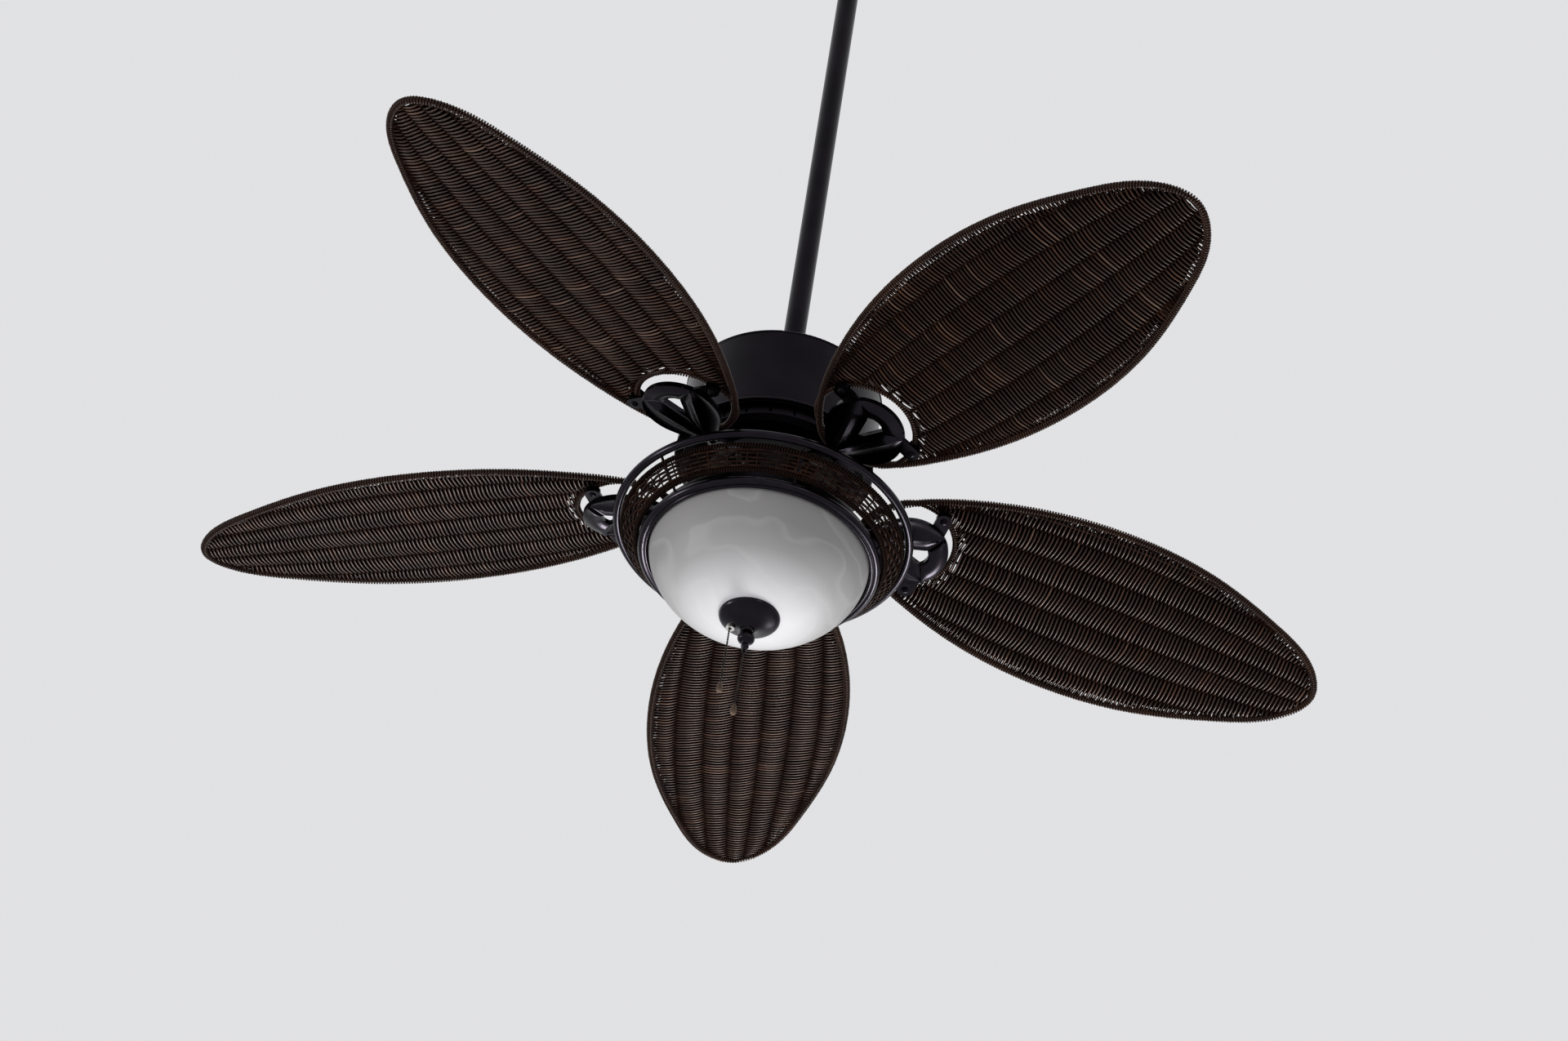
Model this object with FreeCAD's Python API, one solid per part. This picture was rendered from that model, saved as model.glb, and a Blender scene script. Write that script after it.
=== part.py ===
"""Ceiling fan with a light: five woven leaf blades on a long downrod, with a glass bowl below.

Millimetres. +Z is up. The origin is the middle of the ceiling plate's top face, so the fan hangs
below z = 0 on the Z axis. Parts at the hub are placed by their height above the blade plane, the
level of the blades' centre lines at mid length, and export() lowers them to their place.
"""
import FreeCAD, Part
import math
import os
from FreeCAD import Base

Vec = Base.Vector
UP = Vec(0, 0, 1)

# Overall sizes
TIP_RADIUS = 686.0           # 54 in sweep
BLADE_COUNT = 5
FIRST_BLADE_ANGLE = 22.75    # degrees from +X, seen from above
BLADE_PITCH = -12.44         # degrees about the blade's length
BLADE_DROOP = 2.06           # degrees that the tip hangs below level
BLADE_MID_RADIUS = 400.0
BLADE_THICKNESS = 9.0
BLADE_PLANE_Z = -1122.0
GAP = 0.3                    # between parts that only lie next to each other
FIT = 0.05                   # radial clearance of a running fit

# Ceiling end
BALL_Z = -46.0
BALL_RADIUS = 25.0
SEAT_THICKNESS = 2.2
PLATE_THICKNESS = 2.5
PLATE_HALF_LENGTH = 70.5
PLATE_WIDTH = 40.0
SLOT_SPACING = 88.9          # outlet box screws
SLOT_LENGTH = 12.0
SLOT_RADIUS = 2.8
LEG_OUTER_X = 56.0
ROD_RADIUS = 12.7            # 1 in tube
ROD_WALL = 1.6
ROD_LENGTH = 914.0           # 36 in downrod
ROD_TOP_Z = -28.0
PIN_RADIUS = 3.0
CANOPY_PROFILE = ((75.0, 0.0), (74.6, -12.0), (72.6, -30.0), (66.5, -50.0),
                  (54.0, -69.0), (40.0, -81.0), (28.2, -88.0))
CANOPY_SCREW_Z = -14.0
SHEET = 1.3                  # wall of every spun steel cover

# Motor, heights above the blade plane
ROD_FOOT = ROD_TOP_Z - ROD_LENGTH - BLADE_PLANE_Z
COLLAR_TOP = 218.0
COLLAR_RADIUS = 18.5
CLEVIS_HEIGHT = 200.0
CAP_HEIGHT = 161.5
DRUM_RADIUS = 112.4
DRUM_TOP = 158.4
DRUM_FOOT = 52.0
BEAD_RADIUS = 1.8
LOWER_COVER_RADIUS = 104.0
LOWER_COVER_HOLE = 76.0
VENT_COUNT = 24
SHAFT_RADIUS = 8.5
SHAFT_BORE = 5.5
SHAFT_FOOT = -14.0
BEARING_RADIUS = 20.0
BEARING_WIDTH = 12.0
UPPER_BEARING = 110.0
LOWER_BEARING = 42.0
ROTOR_RADIUS = 92.0
STATOR_RADIUS = 80.0
ROTOR_SPLIT = 84.0
FLYWHEEL_RADIUS = 74.0
FLYWHEEL_FOOT = 20.2
FLYWHEEL_THICKNESS = 10.0

# Blade iron, measured along the blade (s) and across it (t)
PAD_START = 42.0
PAD_END = 71.0
PAD_HALF_WIDTH = 14.0
IRON_THICKNESS = 5.0
IRON_TOP = -8.0              # below the blade's mid plane
IRON_CENTRE = 172.0            # middle of the round plate, from the fan's axis
IRON_RADIUS = 44.5
NECK_HALF = ((110.0, 9.0), (119.0, 9.5), (128.0, 21.0), (141.0, 31.5))
HOLE_APEX = (158.5, 0.0)
HOLE_CORNER = (190.5, 11.0)
HOLE_BULGE = 195.0
KEEL_START = (124.0, 1.5)
KEEL_END = (201.0, 32.0)
KEEL_RADIUS = 1.6
EAR_POINT = (191.0, 53.5)
EAR_RADIUS = 9.0
IRON_SCREW_RADII = (50.0, 64.0)

# Blade outline: distance from the fan's axis and half width there
BLADE_STATIONS = ((109.0, 0.0), (131.0, 44.0), (193.0, 81.0), (287.0, 111.0), (398.0, 122.5),
                  (508.0, 110.0), (602.0, 78.0), (664.0, 42.0), (TIP_RADIUS, 0.0))
OPENING_CENTRE = 165.0
OPENING_RADIUS = 55.0
OPENING_ROOT = 122.0

# Light kit, heights above the blade plane
SWITCH_RADIUS = 60.0
SWITCH_TOP = -4.0
SWITCH_FOOT = -46.0
PAN_RADIUS = 127.2
PAN_FOOT = -83.2
UPPER_RING = (163.9, -49.0)  # centre line radius and height
LOWER_RING = (130.6, -87.0)
RING_TUBE = 4.8
LIP_TUBE = 2.2
BAND_THICKNESS = 5.0
BAND_SPAN = 31.0
BAND_OFFSET = 0.3
POST_COUNT = 6
POST_RADIUS = 1.6
POST_PHASE = 48.0
GLASS_RADIUS = 123.6
GLASS_DEPTH = 95.3
GLASS_CENTRE = -78.0
GLASS_RIM = -72.0
GLASS_WALL = 3.2
GLASS_HOLE = 24.0
CENTRE_ROD_RADIUS = 4.8
CENTRE_ROD_BORE = 2.3
CAP_PROFILE = ((34.0, -169.9), (33.4, -172.6), (27.5, -177.0), (19.0, -180.8),
               (11.5, -185.2), (8.0, -188.4))
FINIAL_PROFILE = ((6.6, -188.9), (6.0, -192.5), (9.4, -199.0), (8.4, -204.0), (4.0, -208.5),
                  (4.5, -212.0), (3.0, -215.0), (2.9, -219.0))
SOCKET_ANGLES = (90.0, 210.0, 330.0)
SOCKET_TILT = 15.0
SOCKET_START = 26.0
SOCKET_HEIGHT = -64.0
SOCKET_RADIUS = 13.5
SOCKET_LENGTH = 30.0

# Pull chains: hanging bead chains, the route's points with heights above the blade plane
CHAIN_RADIUS = 1.2
FOB_RADIUS = 3.2
FOB_LENGTH = 12.5
FAN_CHAIN = ((-21.5, 4.2, -44.0), (-19.8, 5.1, -181.0), (-20.6, 4.9, -260.0))
LIGHT_CHAIN = ((0.0, 0.0, -44.0), (0.0, -0.2, -213.0), (-1.2, -0.4, -293.0))


def tube(outer, inner, low, high):
    """Round tube on the Z axis between two heights."""
    body = Part.makeCylinder(outer, high - low, Vec(0, 0, low))
    if inner:
        body = body.cut(Part.makeCylinder(inner, high - low + 2, Vec(0, 0, low - 1)))
    return body


def rod_between(start, end, radius):
    """Solid round bar from one point to another."""
    line = Vec(*end).sub(Vec(*start))
    return Part.makeCylinder(radius, line.Length, Vec(*start), line)


def box(low, high):
    """Block from its lowest to its highest corner."""
    size = Vec(*high).sub(Vec(*low))
    return Part.makeBox(size.x, size.y, size.z, Vec(*low))


def around(shape, count, phase=0.0):
    """Copies of a shape, evenly turned about the Z axis."""
    copies = []
    for number in range(count):
        turned = shape.copy()
        turned.rotate(Vec(0, 0, 0), UP, phase + number * 360.0 / count)
        copies.append(turned)
    return copies


def revolved(edges):
    """Solid of revolution about Z from closed edges in the XZ plane."""
    wire = Part.Wire(Part.__sortEdges__(edges))
    return Part.Face(wire).revolve(Vec(0, 0, 0), UP, 360)


def polygon_ring(points):
    """Solid of revolution about Z from a closed polygon of (radius, height)."""
    corners = [Vec(radius, 0, height) for radius, height in points]
    wire = Part.makePolygon(corners + corners[:1])
    return Part.Face(wire).revolve(Vec(0, 0, 0), UP, 360)


def curve_through(points):
    """Smooth curve through points of (radius, height)."""
    curve = Part.BSplineCurve()
    curve.interpolate([Vec(radius, 0, height) for radius, height in points])
    return curve


def shifted(points, distance):
    """The same profile moved sideways by a distance, towards the right of its direction."""
    curve = curve_through(points)
    moved = []
    for radius, height in points:
        along = curve.tangent(curve.parameter(Vec(radius, 0, height)))[0]
        moved.append((radius + along.z * distance, height - along.x * distance))
    return moved


def spun_shell(points, wall):
    """Thin cover of revolution: a smooth outer profile and its inner face a wall away."""
    inner = shifted(points, wall)
    ends = ((points[0], inner[0]), (points[-1], inner[-1]))
    edges = [curve_through(points).toShape(), curve_through(inner).toShape()]
    for first, second in ends:
        edges.append(Part.makeLine(Vec(first[0], 0, first[1]), Vec(second[0], 0, second[1])))
    return revolved(edges)


def screw(head_radius, head_height, shank_radius, shank_length):
    """Screw whose head stands above z = 0 and whose shank runs down."""
    head = Part.makeSphere(head_radius, Vec(0, 0, 0), UP, 0, 90, 360)
    squeeze = Base.Matrix()
    squeeze.scale(1, 1, head_height / head_radius)
    head = head.transformGeometry(squeeze)
    slot = box((-head_radius, -0.4, head_height * 0.6), (head_radius, 0.4, head_height + 1))
    shank = Part.makeCylinder(shank_radius, shank_length, Vec(0, 0, -shank_length))
    return head.fuse(shank).cut(slot)


def placed(shape, position, direction):
    """A copy of a shape built along +Z, moved to a point and turned to a direction."""
    copy = shape.copy()
    turn = Base.Rotation(UP, Vec(*direction))
    copy.Placement = Base.Placement(Vec(*position), turn)
    return copy


def export(name, shape, height=BLADE_PLANE_Z):
    """Lower a shape from the blade plane to its place and write it."""
    solids = shape if isinstance(shape, list) else [shape]
    moved = []
    for solid in solids:
        copy = solid.copy()
        copy.translate(Vec(0, 0, height))
        moved.append(copy)
    whole = moved[0] if len(moved) == 1 else Part.makeCompound(moved)
    whole.exportStep("parts/" + name + ".step")


# ---------------------------------------------------------------- ceiling end

def ball_space(radius):
    return Part.makeSphere(radius, Vec(0, 0, BALL_Z))


def rod_slot(half_width):
    """The way in for the downrod, on the -Y side of the ball's socket."""
    return box((-half_width, -60, BALL_Z - 40), (half_width, 0, BALL_Z + 1))


def ball_zone(outer, inner, below_top, below_foot):
    """Part of a hollow sphere between two levels below the ball's centre."""
    shell = ball_space(outer).cut(ball_space(inner))
    return shell.common(tube(outer + 5, 0, BALL_Z - below_foot, BALL_Z - below_top))


def hanger_bracket():
    half_width = PLATE_WIDTH / 2
    plate = box((-PLATE_HALF_LENGTH, -half_width, -PLATE_THICKNESS),
                (PLATE_HALF_LENGTH, half_width, 0))
    for side in (-1, 1):
        middle = side * SLOT_SPACING / 2
        straight = SLOT_LENGTH / 2 - SLOT_RADIUS
        slot = box((middle - straight, -SLOT_RADIUS, -10), (middle + straight, SLOT_RADIUS, 5))
        for end in (-1, 1):
            slot = slot.fuse(Part.makeCylinder(SLOT_RADIUS, 15, Vec(middle + end * straight, 0, -10)))
        plate = plate.cut(slot)
    plate = plate.cut(Part.makeCylinder(14, 10, Vec(0, 0, -6)))
    seat_level = BALL_Z - 4
    socket_inner = BALL_RADIUS + SEAT_THICKNESS + 2 * GAP
    socket_outer = socket_inner + PLATE_THICKNESS
    shelf = box((-LEG_OUTER_X, -half_width, seat_level - PLATE_THICKNESS),
                (LEG_OUTER_X, half_width, seat_level))
    shelf = shelf.cut(ball_space(socket_inner))
    body = plate.fuse(shelf).fuse(ball_zone(socket_outer, socket_inner, 4, 19.3))
    for side in (-1, 1):
        leg = box((LEG_OUTER_X - PLATE_THICKNESS, -half_width, seat_level - PLATE_THICKNESS),
                  (LEG_OUTER_X, half_width, -PLATE_THICKNESS))
        tab = box((PLATE_HALF_LENGTH - PLATE_THICKNESS, -8, -24),
                  (PLATE_HALF_LENGTH, 8, -PLATE_THICKNESS))
        hole = rod_between((60, 0, CANOPY_SCREW_Z), (80, 0, CANOPY_SCREW_Z), 2.15)
        pair = leg.fuse(tab.cut(hole))
        if side < 0:
            pair.rotate(Vec(0, 0, 0), UP, 180)
        body = body.fuse(pair)
    return body.cut(rod_slot(14.5)).removeSplitter()


def ball_seat():
    inner = BALL_RADIUS + GAP
    ring = ball_zone(BALL_RADIUS + SEAT_THICKNESS + GAP, inner, 4.5, 16)
    return ring.cut(rod_slot(14.5))


def hanger_ball():
    ball = ball_space(BALL_RADIUS)
    ball = ball.cut(tube(BALL_RADIUS + 5, 0, BALL_Z + 14, BALL_Z + 40))
    ball = ball.cut(tube(ROD_RADIUS + FIT, 0, BALL_Z - 40, BALL_Z + 40))
    ball = ball.cut(box((-2, BALL_RADIUS - 4, BALL_Z - 40), (2, 40, BALL_Z + 40)))
    return ball.cut(cross_hole(BALL_Z, 30))


def cross_hole(level, half_length):
    return rod_between((-half_length, 0, level), (half_length, 0, level), PIN_RADIUS + FIT)


def downrod():
    """The rod in ceiling coordinates, with a cross hole at each end."""
    rod = tube(ROD_RADIUS, ROD_RADIUS - ROD_WALL, ROD_TOP_Z - ROD_LENGTH, ROD_TOP_Z)
    rod = rod.cut(cross_hole(BALL_Z, 30))
    return rod.cut(cross_hole(CLEVIS_HEIGHT + BLADE_PLANE_Z, 30))


def canopy():
    shell = spun_shell(CANOPY_PROFILE, SHEET)
    hole = rod_between((-90, 0, CANOPY_SCREW_Z), (90, 0, CANOPY_SCREW_Z), 2.4)
    return shell.cut(hole)


def canopy_screws():
    one = placed(screw(4.4, 2.4, 2.1, 7.5), (75.2, 0, CANOPY_SCREW_Z), (1, 0, 0))
    return around(one, 2)


def make_ceiling_end():
    export("hanger_bracket", hanger_bracket(), 0)
    export("canopy", canopy(), 0)
    export("canopy_screws", canopy_screws(), 0)
    export("ball_seat", ball_seat(), 0)
    export("hanger_ball", hanger_ball(), 0)
    export("ball_cross_pin", rod_between((-22, 0, BALL_Z), (22, 0, BALL_Z), PIN_RADIUS), 0)
    export("downrod", downrod(), 0)


# ---------------------------------------------------------------- motor

def motor_collar():
    """Cast collar: the rod stands in its upper bore, the motor shaft screws into the lower one."""
    body = tube(COLLAR_RADIUS, 0, DRUM_TOP - 4, COLLAR_TOP)
    body = body.fuse(tube(34, 0, DRUM_TOP - 4, CAP_HEIGHT - SHEET - GAP))
    body = body.cut(tube(ROD_RADIUS + FIT, 0, ROD_FOOT - GAP, COLLAR_TOP + 1))
    body = body.cut(tube(SHAFT_RADIUS + FIT, 0, 100, ROD_FOOT + 1))
    body = body.cut(cross_hole(CLEVIS_HEIGHT, 30))
    for hole in around(Part.makeCylinder(2.0, 20, Vec(28, 0, 150)), 4, 45):
        body = body.cut(hole)
    screw_hole = rod_between((0, -30, COLLAR_TOP - 8), (0, 30, COLLAR_TOP - 8), 2.6)
    return body.cut(screw_hole)


def clevis_pin():
    """Headed pin through collar and rod, with a cotter ring at its far end."""
    pin = rod_between((-COLLAR_RADIUS - GAP, 0, CLEVIS_HEIGHT), (25, 0, CLEVIS_HEIGHT), PIN_RADIUS)
    head = rod_between((-COLLAR_RADIUS - GAP, 0, CLEVIS_HEIGHT),
                       (-COLLAR_RADIUS - 3, 0, CLEVIS_HEIGHT), 5)
    hole = rod_between((22, 0, CLEVIS_HEIGHT - 10), (22, 0, CLEVIS_HEIGHT + 10), 1.1)
    cotter = rod_between((22, 0, CLEVIS_HEIGHT - 6), (22, 0, CLEVIS_HEIGHT + 6), 0.9)
    loop = Part.makeTorus(2.6, 0.9, Vec(22, 0, CLEVIS_HEIGHT + 8), Vec(0, 1, 0))
    return [pin.fuse(head).cut(hole), cotter.fuse(loop)]


def collar_set_screws():
    one = placed(screw(4.0, 2.6, 2.5, COLLAR_RADIUS - ROD_RADIUS - 0.4),
                 (0, COLLAR_RADIUS + 0.2, COLLAR_TOP - 8), (0, 1, 0))
    return around(one, 2)


def yoke_cover():
    profile = ((40.0, CAP_HEIGHT + GAP), (39.6, 176.0), (37.0, 194.0), (32.0, 211.0),
               (24.5, 226.0), (17.8, 235.5), (14.4, 240.0))
    return spun_shell(profile, SHEET)


def housing_top_cap():
    body = polygon_ring(((19.2, CAP_HEIGHT), (60, CAP_HEIGHT), (100, 159.8), (109.2, 157.4),
                         (109.2, 156.1), (100, 158.5), (60, 160.2), (19.2, 160.2)))
    for hole in around(Part.makeCylinder(2.2, 20, Vec(28, 0, 150)), 4, 45):
        body = body.cut(hole)
    return body


def bead(radius, height, tube_radius):
    return Part.makeTorus(radius, tube_radius, Vec(0, 0, height), UP)


def housing_drum():
    wall = tube(DRUM_RADIUS, DRUM_RADIUS - SHEET, DRUM_FOOT + 1, DRUM_TOP - 1)
    for height in (DRUM_TOP - BEAD_RADIUS, DRUM_FOOT + BEAD_RADIUS):
        wall = wall.fuse(bead(DRUM_RADIUS - 0.8, height, BEAD_RADIUS))
    return wall


def housing_lower_cover():
    """Stepped pan under the drum: a recessed, slotted wall and a floor with a wide hole."""
    wall = LOWER_COVER_RADIUS
    top = DRUM_FOOT - 0.4
    profile = ((110.4, top), (110.4, top - SHEET), (wall, top - SHEET), (wall, 38.5),
               (97.0, 33.6), (LOWER_COVER_HOLE, 32.2), (LOWER_COVER_HOLE, 33.5),
               (96.4, 34.9), (wall - SHEET, 39.2), (wall - SHEET, top))
    body = polygon_ring(profile)
    slot = box((wall - 5, -1.6, 40.5), (wall + 5, 1.6, 48.5))
    for vent in around(slot, VENT_COUNT):
        body = body.cut(vent)
    return body


def housing_screws():
    """Four screws in the top cap and three in the side of the switch housing."""
    top = placed(screw(4.4, 2.4, 2.0, 6.5), (28, 0, CAP_HEIGHT + 0.1), (0, 0, 1))
    side = placed(screw(3.6, 2.0, 1.6, 4.4), (SWITCH_RADIUS + 0.1, 0, SWITCH_TOP - 3.5), (1, 0, 0))
    return around(top, 4, 45) + around(side, 3, 35)


def stator_core():
    body = tube(22, SHAFT_RADIUS, 64, 100).fuse(tube(STATOR_RADIUS, 21, 71, 95))
    for slot in around(Part.makeCylinder(4.0, 40, Vec(STATOR_RADIUS - 3, 0, 60)), 18):
        body = body.cut(slot)
    return body


def stator_windings():
    return [tube(72, 44, 95.3, 106), tube(72, 44, 60, 70.7)]


def rotor_shell(direction):
    """Half of the outer rotor. direction is 1 for the upper half and -1 for the lower."""
    upper = direction > 0
    edge = ROTOR_SPLIT + direction * GAP / 2
    far = 118.0 if upper else 46.0
    plate = far - direction * 6
    bearing = UPPER_BEARING if upper else LOWER_BEARING
    wall = tube(ROTOR_RADIUS, STATOR_RADIUS + 1, min(edge, far), max(edge, far))
    disc = tube(ROTOR_RADIUS, BEARING_RADIUS, min(plate, far), max(plate, far))
    boss = tube(BEARING_RADIUS + 6, BEARING_RADIUS, bearing, bearing + BEARING_WIDTH)
    body = wall.fuse(disc).fuse(boss)
    if not upper:
        body = body.fuse(tube(60, 30, FLYWHEEL_FOOT + FLYWHEEL_THICKNESS, far + 1))
    return body.cut(tube(BEARING_RADIUS, 0, bearing - 20, bearing + 40)).removeSplitter()


def bearings():
    rings = []
    for foot in (LOWER_BEARING, UPPER_BEARING):
        rings.append(tube(BEARING_RADIUS, SHAFT_RADIUS + FIT, foot, foot + BEARING_WIDTH))
    return rings


def flywheel():
    body = tube(FLYWHEEL_RADIUS, 22, FLYWHEEL_FOOT, FLYWHEEL_FOOT + FLYWHEEL_THICKNESS)
    for radius in IRON_SCREW_RADII:
        hole = Part.makeCylinder(2.6, 60, Vec(radius, 0, FLYWHEEL_FOOT - 20))
        for copy in around(hole, BLADE_COUNT, FIRST_BLADE_ANGLE):
            body = body.cut(copy)
    return body


def make_motor():
    export("motor_collar", motor_collar())
    export("clevis_pin", clevis_pin())
    export("collar_set_screws", collar_set_screws())
    export("yoke_cover", yoke_cover())
    export("housing_top_cap", housing_top_cap())
    export("housing_drum", housing_drum())
    export("housing_lower_cover", housing_lower_cover())
    export("housing_screws", housing_screws())
    export("motor_shaft", tube(SHAFT_RADIUS, SHAFT_BORE, SHAFT_FOOT, ROD_FOOT - 2 * GAP))
    export("stator_core", stator_core())
    export("stator_windings", stator_windings())
    export("rotor_upper_shell", rotor_shell(1))
    export("rotor_lower_shell", rotor_shell(-1))
    export("bearings", bearings())
    export("flywheel", flywheel())


# ---------------------------------------------------------------- blades and irons

def blade_placement(number):
    """From blade axes (along, across, up) to the fan's: pitched, drooped and turned."""
    pitch = Base.Rotation(Vec(1, 0, 0), BLADE_PITCH)
    droop = Base.Rotation(Vec(0, 1, 0), BLADE_DROOP)
    turn = Base.Rotation(UP, FIRST_BLADE_ANGLE + number * 360.0 / BLADE_COUNT)
    to_middle = Base.Placement(Vec(-BLADE_MID_RADIUS, 0, 0), Base.Rotation())
    tilt = Base.Placement(Vec(BLADE_MID_RADIUS, 0, 0), droop.multiply(pitch))
    return Base.Placement(Vec(0, 0, 0), turn).multiply(tilt).multiply(to_middle)


def in_blade_axes(shape, number):
    copy = shape.copy()
    copy.Placement = blade_placement(number).multiply(copy.Placement)
    return copy


def flat_solid(edges, low, high):
    """Closed outline in the XY plane, given thickness between two levels."""
    face = Part.Face(Part.Wire(Part.__sortEdges__(edges)))
    face.translate(Vec(0, 0, low))
    return face.extrude(Vec(0, 0, high - low))


def arc_edge(first, middle, last):
    points = [Vec(x, y, 0) for x, y in (first, middle, last)]
    return Part.Arc(*points).toShape()


def blade_outline():
    there = [Vec(s, half, 0) for s, half in BLADE_STATIONS]
    back = [Vec(s, -half, 0) for s, half in reversed(BLADE_STATIONS[1:-1])]
    curve = Part.BSplineCurve()
    curve.interpolate(there + back, PeriodicFlag=True)
    return curve.toShape()


def blade_opening():
    """Horseshoe opening: round at the blade's side and drawn in towards the hub."""
    centre = Vec(OPENING_CENTRE, 0, 0)
    side = Vec(OPENING_CENTRE, OPENING_RADIUS, 0)
    root = Vec(OPENING_ROOT, 0, 0)
    round_end = arc_edge((OPENING_CENTRE, OPENING_RADIUS),
                         (OPENING_CENTRE + OPENING_RADIUS, 0), (OPENING_CENTRE, -OPENING_RADIUS))
    ellipse = Part.Ellipse(side, root, centre)
    root_end = ellipse.toShape(0, math.pi)
    return [round_end, root_end]


def ear_points():
    return ((EAR_POINT[0], EAR_POINT[1]), (EAR_POINT[0], -EAR_POINT[1]))


def blade():
    half = BLADE_THICKNESS / 2
    body = flat_solid([blade_outline()], -half, half)
    body = body.cut(flat_solid(blade_opening(), -half - 1, half + 1))
    for s, t in ear_points():
        body = body.cut(Part.makeCylinder(2.2, 30, Vec(s, t, -15)))
    return body


def iron_plate():
    """Round plate of two leaves and an arch, with the see-through hole between them."""
    low = IRON_TOP - IRON_THICKNESS
    disc = Part.makeCylinder(IRON_RADIUS, IRON_THICKNESS, Vec(IRON_CENTRE, 0, low))
    outline = [Vec(s, t, 0) for s, t in NECK_HALF]
    outline += [Vec(s, -t, 0) for s, t in reversed(NECK_HALF)]
    neck = flat_solid(Part.makePolygon(outline + outline[:1]).Edges, low, IRON_TOP)
    apex, corner = HOLE_APEX, HOLE_CORNER
    other = (corner[0], -corner[1])
    hole = [Part.makeLine(Vec(*other, 0), Vec(*apex, 0)),
            Part.makeLine(Vec(*apex, 0), Vec(*corner, 0)),
            arc_edge(corner, (HOLE_BULGE, 0.0), other)]
    return disc.fuse(neck).cut(flat_solid(hole, low - 1, IRON_TOP + 1))


def iron_keel(side):
    """Ridge along the middle of one leaf, on its lower face."""
    level = IRON_TOP - IRON_THICKNESS
    start = (KEEL_START[0], side * KEEL_START[1], level)
    return rod_between(start, (KEEL_END[0], side * KEEL_END[1], level), KEEL_RADIUS)


def iron_ear(side):
    """Tab under the wicker rim, with the blade screw's hole."""
    top = -BLADE_THICKNESS / 2 - GAP
    foot = IRON_TOP - 3.0
    s, t = EAR_POINT[0], side * EAR_POINT[1]
    disc = Part.makeCylinder(EAR_RADIUS, top - foot, Vec(s, t, foot))
    low, high = sorted((side * 32.0, t))
    bridge = box((s - EAR_RADIUS, low, foot), (s + EAR_RADIUS, high, IRON_TOP))
    hole = Part.makeCylinder(2.2, 30, Vec(s, t, -20))
    return disc.fuse(bridge).cut(hole)


def iron_arm():
    """Pad under the flywheel and the twisted arm that leads from it to the plate."""
    pad_top = FLYWHEEL_FOOT - GAP
    pad = box((PAD_START, -PAD_HALF_WIDTH, pad_top - IRON_THICKNESS),
              (PAD_END, PAD_HALF_WIDTH, pad_top))
    for radius in IRON_SCREW_RADII:
        pad = pad.cut(Part.makeCylinder(2.6, 40, Vec(radius, 0, 0)))
    start = []
    for y, z in ((-1, -1), (1, -1), (1, 0), (-1, 0)):
        start.append(Vec(PAD_END - 1, y * PAD_HALF_WIDTH, pad_top + z * IRON_THICKNESS))
    to_fan = blade_placement(0)
    unturn = Base.Placement(Vec(0, 0, 0), Base.Rotation(UP, -FIRST_BLADE_ANGLE))
    end = []
    for y, z in ((-1, -1), (1, -1), (1, 0), (-1, 0)):
        local = Vec(NECK_HALF[0][0] + 3, y * NECK_HALF[0][1], IRON_TOP + z * IRON_THICKNESS)
        end.append(unturn.multVec(to_fan.multVec(local)))
    wires = [Part.makePolygon(points + points[:1]) for points in (start, end)]
    twist = Part.makeLoft(wires, True, True)
    return pad.fuse(twist)


def blade_iron(number):
    plate = iron_plate()
    for side in (-1, 1):
        plate = plate.fuse(iron_ear(side)).fuse(iron_keel(side))
    arm = iron_arm()
    arm.rotate(Vec(0, 0, 0), UP, FIRST_BLADE_ANGLE + number * 360.0 / BLADE_COUNT)
    return in_blade_axes(plate, number).fuse(arm)


def iron_screws():
    screws = []
    for radius in IRON_SCREW_RADII:
        head_level = FLYWHEEL_FOOT - GAP - IRON_THICKNESS - 0.1
        one = placed(screw(4.4, 2.8, 2.4, 12.0), (radius, 0, head_level), (0, 0, -1))
        screws += around(one, BLADE_COUNT, FIRST_BLADE_ANGLE)
    return screws


def blade_screws():
    """Screws from below through ears and wicker, each with a washer and nut on top."""
    screws = []
    half = BLADE_THICKNESS / 2
    for number in range(BLADE_COUNT):
        for s, t in ear_points():
            one = placed(screw(4.2, 2.4, 2.0, 18.0), (s, t, IRON_TOP - 3.1), (0, 0, -1))
            nut = Part.makeCylinder(7.0, 1.0, Vec(s, t, half + 0.1))
            nut = nut.fuse(Part.makeCylinder(3.6, 3.6, Vec(s, t, half + 0.1)))
            screws.append(in_blade_axes(one.fuse(nut), number))
    return screws


def make_blades():
    for number in range(BLADE_COUNT):
        label = str(number + 1)
        export("blade_" + label, in_blade_axes(blade(), number))
        export("blade_iron_" + label, blade_iron(number))
    export("iron_screws", iron_screws())
    export("blade_screws", blade_screws())


# ---------------------------------------------------------------- switch housing and light kit

def switch_mount_plate():
    """Plate screwed to the foot of the shaft, with its nut."""
    top = SWITCH_TOP - 1
    body = tube(SWITCH_RADIUS - SHEET - GAP, 0, top - 3, top).fuse(tube(14, 0, top - 3, 9))
    lug = box((44, -5, top - 9), (SWITCH_RADIUS - SHEET - GAP, 5, top))
    for copy in around(lug, 3, 35):
        body = body.fuse(copy)
    for copy in around(rod_between((40, 0, SWITCH_TOP - 3.5), (70, 0, SWITCH_TOP - 3.5), 1.7), 3, 35):
        body = body.cut(copy)
    return body.cut(tube(SHAFT_RADIUS, 0, -40, 40))


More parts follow.
